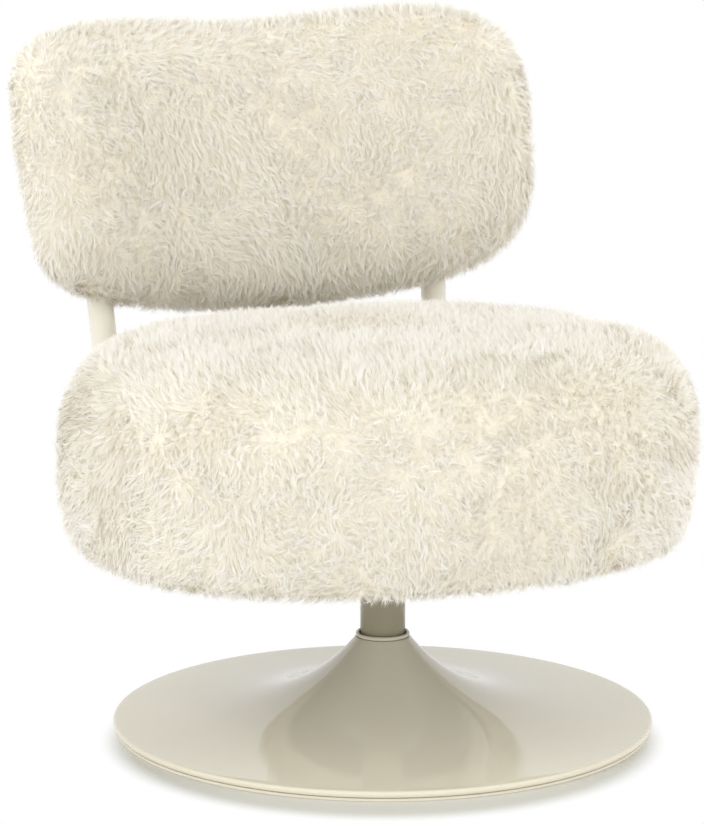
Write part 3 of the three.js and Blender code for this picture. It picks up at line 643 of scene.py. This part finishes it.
def edge_rings(inner, radius, middle, rise, power, start, end, steps):
    """(half x, half y, height) of the rings of a rounded edge about an inner line."""
    rings = []
    for i in range(steps + 1):
        turn = math.radians(start + (end - start) * i / steps)
        reach = radius * abs(math.cos(turn)) ** (2 / power)
        height = middle + rise * math.copysign(abs(math.sin(turn)) ** (2 / power), math.sin(turn))
        rings.append((inner[0] + reach, inner[1] + reach, height))
    return rings


def crown_rings(inner, edge_height, crown, steps=8):
    shares = [i / steps for i in range(steps)]
    return [(s * inner[0], s * inner[1], edge_height + crown * (1 - s**2)) for s in shares]


# %% [markdown]
# The seat's rings start in the middle of its crown, go round the upper edge, down the side and round
# the lower edge to the hem, then in under the board's edge and over the board, where they close. The
# form stays inside the finished seat by the depth of the wool.

# %% Seat form
seat_wool_depth, seat_power, edge_power = 9.0, 2.2, 2.5
seat_half, seat_centre_y = (359.0 - seat_wool_depth, 311.0 - seat_wool_depth), 9.5
seat_middle, seat_top, seat_crown = 311.0, 442.5 - seat_wool_depth, 9.0
upper_round, lower_round, hem_height = 86.0 - seat_wool_depth, 29.0, 213.0
board_low, board_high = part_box("seat_board")
cloth_low, cloth_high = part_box("dust_cover")
opening = ((cloth_high.x - cloth_low.x) * 500 + 2, (cloth_high.y - cloth_low.y) * 500 + 2)
board = ((board_high.x - board_low.x) * 500 + 2 * gap, (board_high.y - board_low.y) * 500 + 2 * gap)
upper = (seat_half[0] - upper_round, seat_half[1] - upper_round)
lower = (seat_half[0] - lower_round, seat_half[1] - lower_round)
top_edge, hem_reach, hem_turn, recess_step = seat_top - seat_crown, 14, 3, 5
upper_rise, lower_drop = top_edge - seat_middle, seat_middle - hem_height
under_board, over_board = board_low.z * 1000 - gap, board_high.z * 1000 + gap
seat_rings = [
    *crown_rings(upper, top_edge, seat_crown),
    *edge_rings(upper, upper_round, seat_middle, upper_rise, edge_power, start=90, end=0, steps=14),
    *edge_rings(lower, lower_round, seat_middle, lower_drop, edge_power, start=0, end=-90, steps=10)[1:],
    (opening[0] + hem_reach, opening[1] + hem_reach, hem_height + hem_turn),
    (*opening, hem_height + recess_step),
    (*opening, under_board),
    (*board, under_board),
    (*board, over_board),
    (board[0] * 0.5, board[1] * 0.5, over_board),
    (0, 0, over_board),
]


def seat_ring(half_x, half_y, height):
    flat = outline(half_x, half_y, seat_power, seat_power)
    return np.column_stack([flat[:, 0], flat[:, 1] + seat_centre_y, np.full(len(flat), height)]) / 1000


seat_cushion = new_piece("seat_cushion", loft([seat_ring(*ring) for ring in seat_rings]))
print("seat form:", len(seat_cushion.data.vertices), "points")

# %% [markdown]
# The staples' line is the same superellipse as the opening under the seat, drawn a little further
# in. Without it the cloth would seem to float under the board.

# %% Staples along the dust cover's edge
edge_inset, wire_radius = 9.0, 0.4
staple_height = cloth_low.z * 1000 - wire_radius
staple_line = seat_ring(opening[0] - edge_inset, opening[1] - edge_inset, staple_height)
loop = [(i, (i + 1) % len(staple_line)) for i in range(len(staple_line))]
source = new_piece("staple_line", mesh_of(staple_line, [], loop))
sizes = {"spacing": mm(28), "crown": mm(11), "wire_radius": mm(wire_radius)}
staple_ring = made_by(staples, source, "dust_cover_staples", finish=zinc_plate, **sizes)
discard(source)
on_body(staple_ring, "seat")

# %% [markdown]
# The back is made flat first, as a pad with a crown on both sides and a half-round edge. Each ring is
# then carried into the bent and leaning space that the posts were drawn in. The pad's upper corners
# are fuller than its lower ones, so the superellipse has one power for its upper half and another
# for its lower half.

# %% Back form
back_wool_depth = 8.0
back_half = (332.0 - back_wool_depth, 173.5 - back_wool_depth)
back_thickness, back_crown, back_edge = 55.0 - back_wool_depth, 8.0, 50.0 - back_wool_depth
back_inner = (back_half[0] - back_edge, back_half[1] - back_edge)
edge_depth, half_round, upper_power, lower_power = back_thickness - back_crown, 2, 4.3, 3.7
front_rings = crown_rings(back_inner, edge_depth, back_crown)
back_rings = [
    *front_rings,
    *edge_rings(back_inner, back_edge, 0, edge_depth, half_round, start=90, end=-90, steps=18),
    *[(x, y, -depth) for x, y, depth in front_rings[::-1]],
]


def back_ring(half_x, half_y, depth):
    flat = outline(half_x, half_y, upper_power, lower_power)
    return back_place(flat[:, 0], flat[:, 1], depth)


back_cushion = new_piece("back_cushion", loft([back_ring(*ring) for ring in back_rings]))
print("back form:", len(back_cushion.data.vertices), "points")

# %% [markdown]
# Cloth under a little pressure rounds the forms and lets them bulge between what holds them. The
# seat is held where it wraps under the board, and the back is free all round. No point may move
# further than a cap, in millimetres. A fixed bulge could be drawn into the rings instead, but cloth
# finds by itself where a skin rounds out most.

# %% Cloth that swells the cushions
def swell(piece, held, pressure, cap, frames=20):
    """Runs pressured cloth on a piece; held marks the points that stay."""
    rest = np.empty(len(piece.data.vertices) * 3)
    piece.data.vertices.foreach_get("co", rest)
    rest = rest.reshape(-1, 3)
    group = piece.vertex_groups.new(name="held")
    group.add([int(i) for i in np.flatnonzero(held(rest * 1000))], 1.0, "REPLACE")
    cloth = piece.modifiers.new("swelling", "CLOTH")
    leather = {"mass": 0.4, "tension_stiffness": 20, "compression_stiffness": 20, "bending_stiffness": 8}
    air = {"use_pressure": True, "uniform_pressure_force": pressure}
    for name, value in {"quality": 6, **leather, **air, "vertex_group_mass": "held"}.items():
        setattr(cloth.settings, name, value)
    cloth.settings.effector_weights.gravity = 0
    cloth.point_cache.frame_start, cloth.point_cache.frame_end = 1, frames
    for frame_number in range(1, frames + 1):
        scene.frame_set(frame_number)
    swollen = np.empty(len(rest) * 3)
    piece.evaluated_get(bpy.context.evaluated_depsgraph_get()).data.vertices.foreach_get("co", swollen)
    move = swollen.reshape(-1, 3) - rest
    length = np.linalg.norm(move, axis=1, keepdims=True)
    move *= np.minimum(1, mm(cap) / np.maximum(length, 1e-9))
    piece.modifiers.remove(cloth)
    piece.vertex_groups.clear()
    scene.frame_set(1)
    piece.data.vertices.foreach_set("co", (rest + move).ravel())
    piece.data.update()
    furthest = float(np.linalg.norm(move, axis=1).max())
    print(piece.name, "swelled by up to", round(furthest * 1000, 1), "mm")


free_from = hem_height + 32
swell(seat_cushion, held=lambda points: points[:, 2] < free_from, pressure=4, cap=6)
swell(back_cushion, held=lambda points: np.zeros(len(points), bool), pressure=4, cap=5)

# %% [markdown]
# No two hides are alike. Slow noise of two sizes makes them uneven, and a few swells and hollows are set
# where the photographed chair has them. Each pushes the points near it out or in.

# %% Slow unevenness of the hides
def uneven(piece, swells, sizes, heights, seed, fade):
    """Adds slow noise, and swells or hollows that are given as (x, y, z, reach, height)."""
    mesh, moved = piece.data, []
    for vertex in mesh.vertices:
        place, rise = vertex.co.copy(), 0.0
        for size, height in zip(sizes, heights):
            rise += mm(height) * noise.noise(place / mm(size) + Vector((seed, seed, seed)))
        for *centre, reach, height in swells:
            away = (place * 1000 - Vector(centre)).length / reach
            rise += mm(height) * math.exp(-(away**2))
        moved.extend(place + vertex.normal * rise * fade(place))
    mesh.vertices.foreach_set("co", moved)
    mesh.update()
    print(piece.name, "is uneven by up to", sum(heights), "mm, with", len(swells), "swells")


seat_swells = [
    (-300, -120, 225, 90, 3),
    (310, -60, 415, 90, 6),
    (290, -150, 225, 80, -5),
]
back_swells = [
    (318, 300, 670, 130, 9),
    (320, 290, 560, 60, 5),
    (215, 345, 772, 110, 8),
    (-300, 305, 738, 60, 7),
    (-325, 285, 545, 60, -13),
    (-328, 295, 640, 110, -3),
    (-20, 385, 771, 90, -5),
    (0, 325, 430, 165, 13),
]


def above_hem(place):
    """Fades to nothing at the hem, so that the leather stays on the board there."""
    return min(1, max(0, (place.z - mm(hem_height + 2)) / mm(20)))


uneven(seat_cushion, seat_swells, sizes=(170, 60), heights=(2, 1), seed=3.7, fade=above_hem)
uneven(back_cushion, back_swells, sizes=(150, 60), heights=(1.5, 1), seed=9.1, fade=lambda place: 1.0)

# %% [markdown]
# ## Sheepskin
# A sheepskin is tanned with its wool on. From a step away the eye sees locks: dozens of hairs that
# cling together at their tips, lie over in swirls, and hang down at the lower edges. Between the
# locks the shade is warmer. The leather under them is only seen as a darker cream ground. Each hair
# is shaded by a mix of its own direction and the hide's, so that light falls over the locks softly.

# %% Wool and hide
hide, add, shader, place = finish("sheepskin_leather")
spots = add("ShaderNodeTexNoise", {"Vector": place, "Scale": 1 / mm(25), "Detail": 4.0})
tones = add("ShaderNodeMix", [spots, linear("#e4dcc9"), linear("#eae4d5")], data_type="RGBA")
feed(shader, {"Base Color": tones, "Roughness": 0.9})

wool, add, shader, place = finish("cream_sheep_wool")
along, tone, skin = (
    add("ShaderNodeAttribute", attribute_name=label) for label in ("along", "tone", "face")
)
root_tones, tip_tones = (
    add("ShaderNodeMix", [tone.outputs["Fac"], linear(dark), linear(light)], data_type="RGBA")
    for dark, light in (("#e3dbc5", "#f0ebdf"), ("#f1ede3", "#f8f7f4"))
)
root_reach, own_share, turned_away = 0.7, 1.1, -2.0
reach = add("ShaderNodeMath", [along.outputs["Fac"], root_reach], operation="POWER")
hair_tones = add("ShaderNodeMix", [reach, root_tones, tip_tones], data_type="RGBA")
to_world = {"vector_type": "NORMAL", "convert_from": "OBJECT", "convert_to": "WORLD"}
outwards = add("ShaderNodeVectorTransform", [skin.outputs["Vector"]], **to_world)
hair_way = add("ShaderNodeNewGeometry").outputs["Normal"]
facing = add("ShaderNodeVectorMath", [outwards, hair_way], operation="DOT_PRODUCT")
behind = add("ShaderNodeMath", [facing, 0.0], operation="MINIMUM")
hair_share = add("ShaderNodeMath", [behind, turned_away, own_share], operation="MULTIPLY_ADD")
hair_part = add("ShaderNodeVectorMath", {"Vector": hair_way, "Scale": hair_share}, operation="SCALE")
blended = add("ShaderNodeVectorMath", [outwards, hair_part], operation="ADD")
shaded_way = add("ShaderNodeVectorMath", [blended], operation="NORMALIZE")
feed(shader, {"Base Color": hair_tones, "Roughness": 0.75, "Specular IOR Level": 0.25})
feed(shader, {"Normal": shaded_way})
print("sheepskin finishes:", hide.name, wool.name)

for cushion in (seat_cushion, back_cushion):
    cushion.data.materials.clear()
    cushion.data.materials.append(hide)

# %% [markdown]
# ## Growing the wool
# A tree scatters roots over the cushion, thinly or thickly as a painted weight says, and grows a
# bent ribbon from each. Hairs are too fine to show, so a ribbon 0.55 mm wide stands for a few dozen
# of them. The ribbon narrows to its tip, and two values stay on it for the finish: how far along
# the hair a point is, and the tone of its lock.

# %% The wool tree: roots
fleece, add, given = new_tree(
    "fleece",
    ("Region", "Int", 0),
    ("Density", "Float", 150000.0),
    ("Hair Length", "Float", mm(22)),
    ("Hair Width", "Float", mm(1.4)),
    ("Lock Size", "Float", mm(7)),
    ("Swirl Size", "Float", mm(90)),
    ("Droop", "Float", 0.5),
    ("Gather", "Float", 0.6),
    ("Seed", "Int", 1),
)
region, weight, curl = (
    add("GeometryNodeInputNamedAttribute", {"Name": label}, data_type=kind)
    for label, kind in (("region", "INT"), ("wool", "FLOAT"), ("curl", "FLOAT"))
)
chosen = add("FunctionNodeCompare", [region, given["Region"]], data_type="INT", operation="EQUAL")
density = add("ShaderNodeMath", [weight, given["Density"]], operation="MULTIPLY")
scatter = {"Mesh": given["Geometry"], "Selection": chosen, "Density": density, "Seed": given["Seed"]}
roots = add("GeometryNodeDistributePointsOnFaces", scatter)
root, normal = add("GeometryNodeInputPosition"), roots.outputs["Normal"]

# %% [markdown]
# Wool lies in large and small swirls, and each lock turns its own way. Slow noises and a Voronoi
# pattern say so, each a colour read as a direction. Curly patches turn more wildly, gravity pulls a
# little, and the upper faces are combed to the rear. What is left along the skin is the way it lies.

# %% The wool tree: the way the wool lies
swirl_pull, fine_pull, lock_pull, curl_pull, comb_pull = 2.6, 2.3, 0.8, 9.0, 0.9
fineness, curl_size, steep, flat = 3.2, mm(13), 0.3, 0.9
swirl_scale = add("ShaderNodeMath", [1.0, given["Swirl Size"]], operation="DIVIDE")
fine_scale = add("ShaderNodeMath", [swirl_scale, fineness], operation="MULTIPLY")
lock_scale = add("ShaderNodeMath", [1.0, given["Lock Size"]], operation="DIVIDE")
swirl, fine_swirl, curl_swirl = (
    add("ShaderNodeTexNoise", {"Vector": root, "Scale": scale, "Detail": 1.0})
    for scale in (swirl_scale, fine_scale, 1 / curl_size)
)
lock = add("ShaderNodeTexVoronoi", {"Vector": root, "Scale": lock_scale})
curl_force = add("ShaderNodeMath", [curl, curl_pull], operation="MULTIPLY")
upwards = add("ShaderNodeSeparateXYZ", {"Vector": normal}).outputs["Z"]
combed, rise_share, lean_share = (
    add(
        "ShaderNodeMapRange",
        {"Value": upwards, "From Min": steep, "From Max": flat, "To Min": at_sides, "To Max": on_top},
    )
    for at_sides, on_top in ((0.0, comb_pull), (0.5, 0.68), (0.85, 0.55))
)
turns = [
    (add("ShaderNodeVectorMath", [pattern.outputs["Color"], (0.5, 0.5, 0.5)], operation="SUBTRACT"), force)
    for pattern, force in (
        (swirl, swirl_pull),
        (fine_swirl, fine_pull),
        (lock, lock_pull),
        (curl_swirl, curl_force),
    )
]
wish = (0.0, 0.0, 0.0)
for way, force in (*turns, ((0, 1.0, 0), combed), ((0, 0, -1.0), given["Droop"])):
    pulled = add("ShaderNodeVectorMath", {"Vector": way, "Scale": force}, operation="SCALE")
    wish = add("ShaderNodeVectorMath", [wish, pulled], operation="ADD")
upright = add("ShaderNodeVectorMath", [wish, normal], operation="PROJECT")
lying = add("ShaderNodeVectorMath", [wish, upright], operation="SUBTRACT")
lying_way = add("ShaderNodeVectorMath", [lying], operation="NORMALIZE")

# %% [markdown]
# A hair rises from the skin, leans over, is drawn to the middle of its lock, and bows to one side
# with it. On the upper faces it stands straighter. In curly patches it is shorter and darker, its
# lock gathers more and bows further. Each root keeps these four ways for its hair, and its tone.

# %% The wool tree: what each root asks of its hair
curl_gather, curl_shortening, curl_bow, curl_darkening = 0.6, -0.38, 1.5, -0.9
chance = add("FunctionNodeRandomValue", {"Min": 0.65, "Max": 1.15, "Seed": given["Seed"]})
lock_length = add("ShaderNodeMapRange", {"Value": lock.outputs["Color"], "To Min": 0.8, "To Max": 1.15})
curl_loss = add("ShaderNodeMath", [curl, curl_shortening, 1.0], operation="MULTIPLY_ADD")
length = given["Hair Length"]
for share in (chance, lock_length, curl_loss):
    length = add("ShaderNodeMath", [length, share], operation="MULTIPLY")
rise = add("ShaderNodeMath", [length, rise_share], operation="MULTIPLY")
lean = add("ShaderNodeMath", [length, lean_share], operation="MULTIPLY")
to_middle = add("ShaderNodeVectorMath", [lock.outputs["Position"], root], operation="SUBTRACT")
gather = add("ShaderNodeMath", [curl, curl_gather, given["Gather"]], operation="MULTIPLY_ADD")
side_way = add("ShaderNodeVectorMath", [normal, lying_way], operation="CROSS_PRODUCT")
lock_draw = add("ShaderNodeSeparateXYZ", {"Vector": lock.outputs["Color"]}).outputs
bow_share = add("ShaderNodeMapRange", {"Value": lock_draw["Y"], "To Min": -0.22, "To Max": 0.22})
bow_growth = add("ShaderNodeMath", [curl, curl_bow, 1.0], operation="MULTIPLY_ADD")
bow = add("ShaderNodeMath", [length, bow_share], operation="MULTIPLY")
bow = add("ShaderNodeMath", [bow, bow_growth], operation="MULTIPLY")
hair_tone = add("FunctionNodeRandomValue", {"Min": -0.25, "Max": 0.25, "Seed": 5})
tone = add("ShaderNodeMath", [lock_draw["Z"], hair_tone], operation="ADD")
tone = add("ShaderNodeMath", [curl, curl_darkening, tone], operation="MULTIPLY_ADD")
asked = [
    (label, "FLOAT_VECTOR", add("ShaderNodeVectorMath", {"Vector": way, "Scale": size}, operation="SCALE"))
    for label, way, size in (
        ("rise", normal, rise),
        ("lean", lying_way, lean),
        ("pull", to_middle, gather),
        ("bow", side_way, bow),
    )
]
marked = roots
for label, kind, value in (*asked, ("face", "FLOAT_VECTOR", normal), ("tone", "FLOAT", tone)):
    mark = {"Geometry": marked, "Name": label, "Value": value}
    marked = add("GeometryNodeStoreNamedAttribute", mark, data_type=kind)

# %% [markdown]
# One straight hair of three points is set on each root and then bent as the root says. Each of the
# four ways has its own curve along the hair: the rise comes first, the lean and the pull of the lock
# come later, and the bow is widest half way up. A flat line swept along the hair makes the ribbon.

# %% The wool tree: bent ribbons
seed_line = add("GeometryNodeCurvePrimitiveLine", {"Start": (0, 0, 0), "End": (0, 0, mm(0.05))})
seed_hair = add("GeometryNodeSubdivideCurve", {"Curve": seed_line, "Cuts": 1})
planted = add("GeometryNodeInstanceOnPoints", {"Points": marked, "Instance": seed_hair})
hairs = add("GeometryNodeRealizeInstances", {"Geometry": planted})
factor = add("GeometryNodeSplineParameter").outputs["Factor"]
half_turn = add("ShaderNodeMath", [factor, math.pi], operation="MULTIPLY")
curves = {
    "rise": add("ShaderNodeMath", [factor, 0.75], operation="POWER"),
    "lean": add("ShaderNodeMath", [factor, 1.5], operation="POWER"),
    "pull": add("ShaderNodeMath", [factor, 1.2], operation="POWER"),
    "bow": add("ShaderNodeMath", [half_turn], operation="SINE"),
}
bend = (0.0, 0.0, 0.0)
for label, curve in curves.items():
    kept = add("GeometryNodeInputNamedAttribute", {"Name": label}, data_type="FLOAT_VECTOR")
    part = add("ShaderNodeVectorMath", {"Vector": kept, "Scale": curve}, operation="SCALE")
    bend = add("ShaderNodeVectorMath", [bend, part], operation="ADD")
bent = add("GeometryNodeSetPosition", {"Geometry": hairs, "Offset": bend})
face = add("GeometryNodeInputNamedAttribute", {"Name": "face"}, data_type="FLOAT_VECTOR")
faced = add("GeometryNodeSetCurveNormal", {"Curve": bent, "Normal": face}, mode="FREE")
tilt = add("FunctionNodeRandomValue", {"Min": -0.5, "Max": 0.5, "Seed": 2})
per_hair = add("GeometryNodeFieldOnDomain", [tilt], domain="CURVE")
tilted = add("GeometryNodeSetCurveTilt", {"Curve": faced, "Tilt": per_hair})
measured = add("GeometryNodeStoreNamedAttribute", {"Geometry": tilted, "Name": "along", "Value": factor})
halves = [add("ShaderNodeMath", [given["Hair Width"], side], operation="MULTIPLY") for side in (-0.5, 0.5)]
start, end = (add("ShaderNodeCombineXYZ", {"Y": half}) for half in halves)
ribbon = add("GeometryNodeCurvePrimitiveLine", {"Start": start, "End": end})
taper = add("ShaderNodeMapRange", {"Value": factor, "To Min": 1.0, "To Max": 0.15})
strands = add("GeometryNodeCurveToMesh", {"Curve": measured, "Profile Curve": ribbon, "Scale": taper})
for label in curves:
    strands = add("GeometryNodeRemoveAttribute", {"Geometry": strands, "Name": label})
send_out(add, strands, given["Finish"])
print("fleece tree has", len(fleece.nodes), "nodes")

# %% [markdown]
# The wool is grown region by region, so that no piece grows too heavy. Each face of a cushion is
# given a region, and each point a weight: full on the shown sides, thin under the hem, and none in
# the recess where the board lies.

# %% Regions and weights
slight_curl, thin_wool, top_slope = 0.16, 0.45, 0.75


def curl_at(place, curls):
    """How curly the wool is: full within each (x, y, z, radius), and slightly everywhere else."""
    away = [(place - Vector(centre)).length / radius for *centre, radius in curls]
    return max(slight_curl, *(math.exp(-(share**2)) for share in away))


def paint(piece, region_of, weight_of, curls):
    """Writes curl, region and weight on a cushion's points and faces."""
    mesh = piece.data
    for label, kind, domain, values in (
        ("curl", "FLOAT", "POINT", [curl_at(vertex.co * 1000, curls) for vertex in mesh.vertices]),
        ("region", "INT", "FACE", [region_of(face.center * 1000, face.normal) for face in mesh.polygons]),
        ("wool", "FLOAT", "POINT", [weight_of(vertex.co * 1000) for vertex in mesh.vertices]),
    ):
        mesh.attributes.new(label, kind, domain).data.foreach_set("value", values)


def seat_region(place, normal):
    if normal.z > top_slope:
        return 0 if place.x < 0 else 1
    if abs(place.x) > abs(place.y - seat_centre_y):
        return 2 if place.x < 0 else 3
    return 4 if place.y < seat_centre_y else 5


def seat_weight(place):
    """None in the recess where the board lies, thin under the hem, full elsewhere."""
    across, along = place.x / board[0], (place.y - seat_centre_y) / board[1]
    inside = abs(across) ** seat_power + abs(along) ** seat_power
    in_recess = inside < 1.02 and place.z < board_high.z * 1000 + 2
    under = place.z < hem_height + 4 and inside < 1.1
    return 0.0 if in_recess else thin_wool if under else 1.0


def back_region(place, normal):
    return (0 if normal.y < 0 else 2) + (0 if place.x < 0 else 1)


seat_curls = [
    (10, -300, 290, 70),
    (-20, -260, 400, 45),
    (150, -250, 380, 60),
    (0, 60, 442, 80),
    (200, 200, 400, 60),
]
back_curls = [(30, 290, 640, 50), (-230, 270, 600, 50), (120, 290, 560, 40), (60, 420, 600, 80)]
paint(seat_cushion, seat_region, seat_weight, seat_curls)
paint(back_cushion, back_region, lambda place: 1.0, back_curls)

# %% [markdown]
# Real wool of this length has far more hairs than a render can carry. About 400,000 ribbons cover the two
# cushions, each with its own length, tone and tilt, and every region has its own seed.

# %% Grow the wool
wool_settings = {
    "density": 330000.0,
    "hair_length": mm(16.5),
    "hair_width": mm(0.55),
    "lock_size": mm(5),
    "finish": wool,
}
first_seed = 11
for cushion, label, regions in (
    (seat_cushion, "seat", ("top_right", "top_left", "side_right", "side_left", "front", "rear")),
    (back_cushion, "back", ("front_right", "front_left", "rear_right", "rear_left")),
):
    for number, where in enumerate(regions):
        name, draw = f"{label}_wool_{where}", {"region": number, "seed": first_seed + number}
        fleece_piece = made_by(fleece, cushion, name, **draw, **wool_settings)
        on_body(fleece_piece, "seat")
on_body(seat_cushion, "seat", ["seat_cover", "seat_foam"])
on_body(back_cushion, "seat", ["back_cover", "back_foam_front", "back_foam_rear"])

# %% [markdown]
# ## Studio
# The photograph was taken on an endless white sweep in soft, even light. The floor is pale and keeps the
# chair's real shadow. Near the chair, for the camera and for mirrors, it is also a darker, warmer grey as
# painted shadow, in a ring shifted towards the camera. Further out it fades to plain white, and so does the
# world behind it.

# %% Floor and world
def cleared(user):
    """Empties the tree of a material or world. Gives its adder, and if the camera or a mirror looks."""
    user.use_nodes = True
    user.node_tree.nodes.clear()
    add = adder(user.node_tree)
    ray = add("ShaderNodeLightPath").outputs
    looks = add("ShaderNodeMath", [ray["Is Camera Ray"], ray["Is Glossy Ray"]], operation="MAXIMUM")
    return add, add("ShaderNodeMath", [looks, ray["Is Transmission Ray"]], operation="MAXIMUM")


floor_half = 40
corners = [(x * floor_half, y * floor_half, 0) for x, y in ((-1, -1), (1, -1), (1, 1), (-1, 1))]
floor = new_piece("studio_floor", mesh_of(corners, [(0, 1, 2, 3)]))
sweep = bpy.data.materials.new("white_sweep")
add, looked_at = cleared(sweep)
spot = add("ShaderNodeTexCoord").outputs["Object"]
shadow_shift, shadow_start, shadow_end = mm(55), mm(277), mm(312)
shadow_middle = (-0.42 * shadow_shift, -0.91 * shadow_shift, 0)
distance = add("ShaderNodeVectorMath", [spot, shadow_middle], operation="DISTANCE")
edge = {"Value": distance, "From Min": shadow_start, "From Max": shadow_end}
fade = add("ShaderNodeMapRange", edge, interpolation_type="SMOOTHSTEP")
paper = add("ShaderNodeBsdfDiffuse", {"Color": (0.9, 0.9, 0.9, 1)})
# Painted shadow: near the chair the camera and mirrors see the floor in this darker, warmer grey rather
# than the paper's own 0.9.
painted_shadow_paper = add("ShaderNodeBsdfDiffuse", {"Color": (0.6, 0.595, 0.54, 1)})
white = add("ShaderNodeEmission", {"Color": (1, 1, 1, 1), "Strength": 1.0})
shown = add("ShaderNodeMixShader", [fade, painted_shadow_paper, white])
surface = add("ShaderNodeMixShader", [looked_at, paper, shown])
add("ShaderNodeOutputMaterial", {"Surface": surface})
floor.data.materials.append(sweep)
floor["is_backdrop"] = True

world = bpy.data.worlds.new("soft_room")
scene.world = world
add, looked_at = cleared(world)
room, bright = (
    add("ShaderNodeBackground", {"Color": (1, 1, 1, 1), "Strength": strength}) for strength in (0.78, 1.0)
)
add("ShaderNodeOutputWorld", {"Surface": add("ShaderNodeMixShader", [looked_at, room, bright])})
print("floor fades to white between", shadow_start, "and", shadow_end, "m")

# %% [markdown]
# Large round lamps give soft shadows. The key stands to the left of the picture and the fill to the
# right. A low lamp in front lights the underside of the back, and weaker ones from above and from
# the rear lift the edges of the wool. Lamps don't show in the paint, only the white room does.

# %% Lamps
over_seat, below_back = (0, 0, 0.4), (0, 0.2, 0.55)
for name, place, aim, size, watts in (
    ("key_left", (-3.1, -0.7, 2.6), over_seat, 2.6, 64),
    ("fill_right", (2.2, -2.2, 2.4), over_seat, 2.6, 48),
    ("front", (-1.35, -3.3, 0.6), below_back, 2.0, 28),
    ("top", (0, 0.2, 3.4), over_seat, 2.6, 3),
    ("rear", (1.6, 3.2, 1.5), over_seat, 2.6, 30),
):
    lamp = bpy.data.lights.new(name, "AREA")
    lamp.shape, lamp.size, lamp.energy = "DISK", size, watts
    holder = bpy.data.objects.new(name, lamp)
    scene.collection.objects.link(holder)
    holder.location, holder.visible_glossy = place, False
    holder.rotation_euler = (Vector(aim) - Vector(place)).to_track_quat("-Z", "Y").to_euler()

# %% [markdown]
# ## Last steps
# The view transform stays plain, so that colours come out as they are written.

# %% Sizes and finish
scene.view_settings.view_transform = "Standard"
seen_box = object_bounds()
sizes = {"cad": [list(corner) for corner in cad_box], "visual": [list(corner) for corner in seen_box]}
print("frame box and dressed box:", sizes)
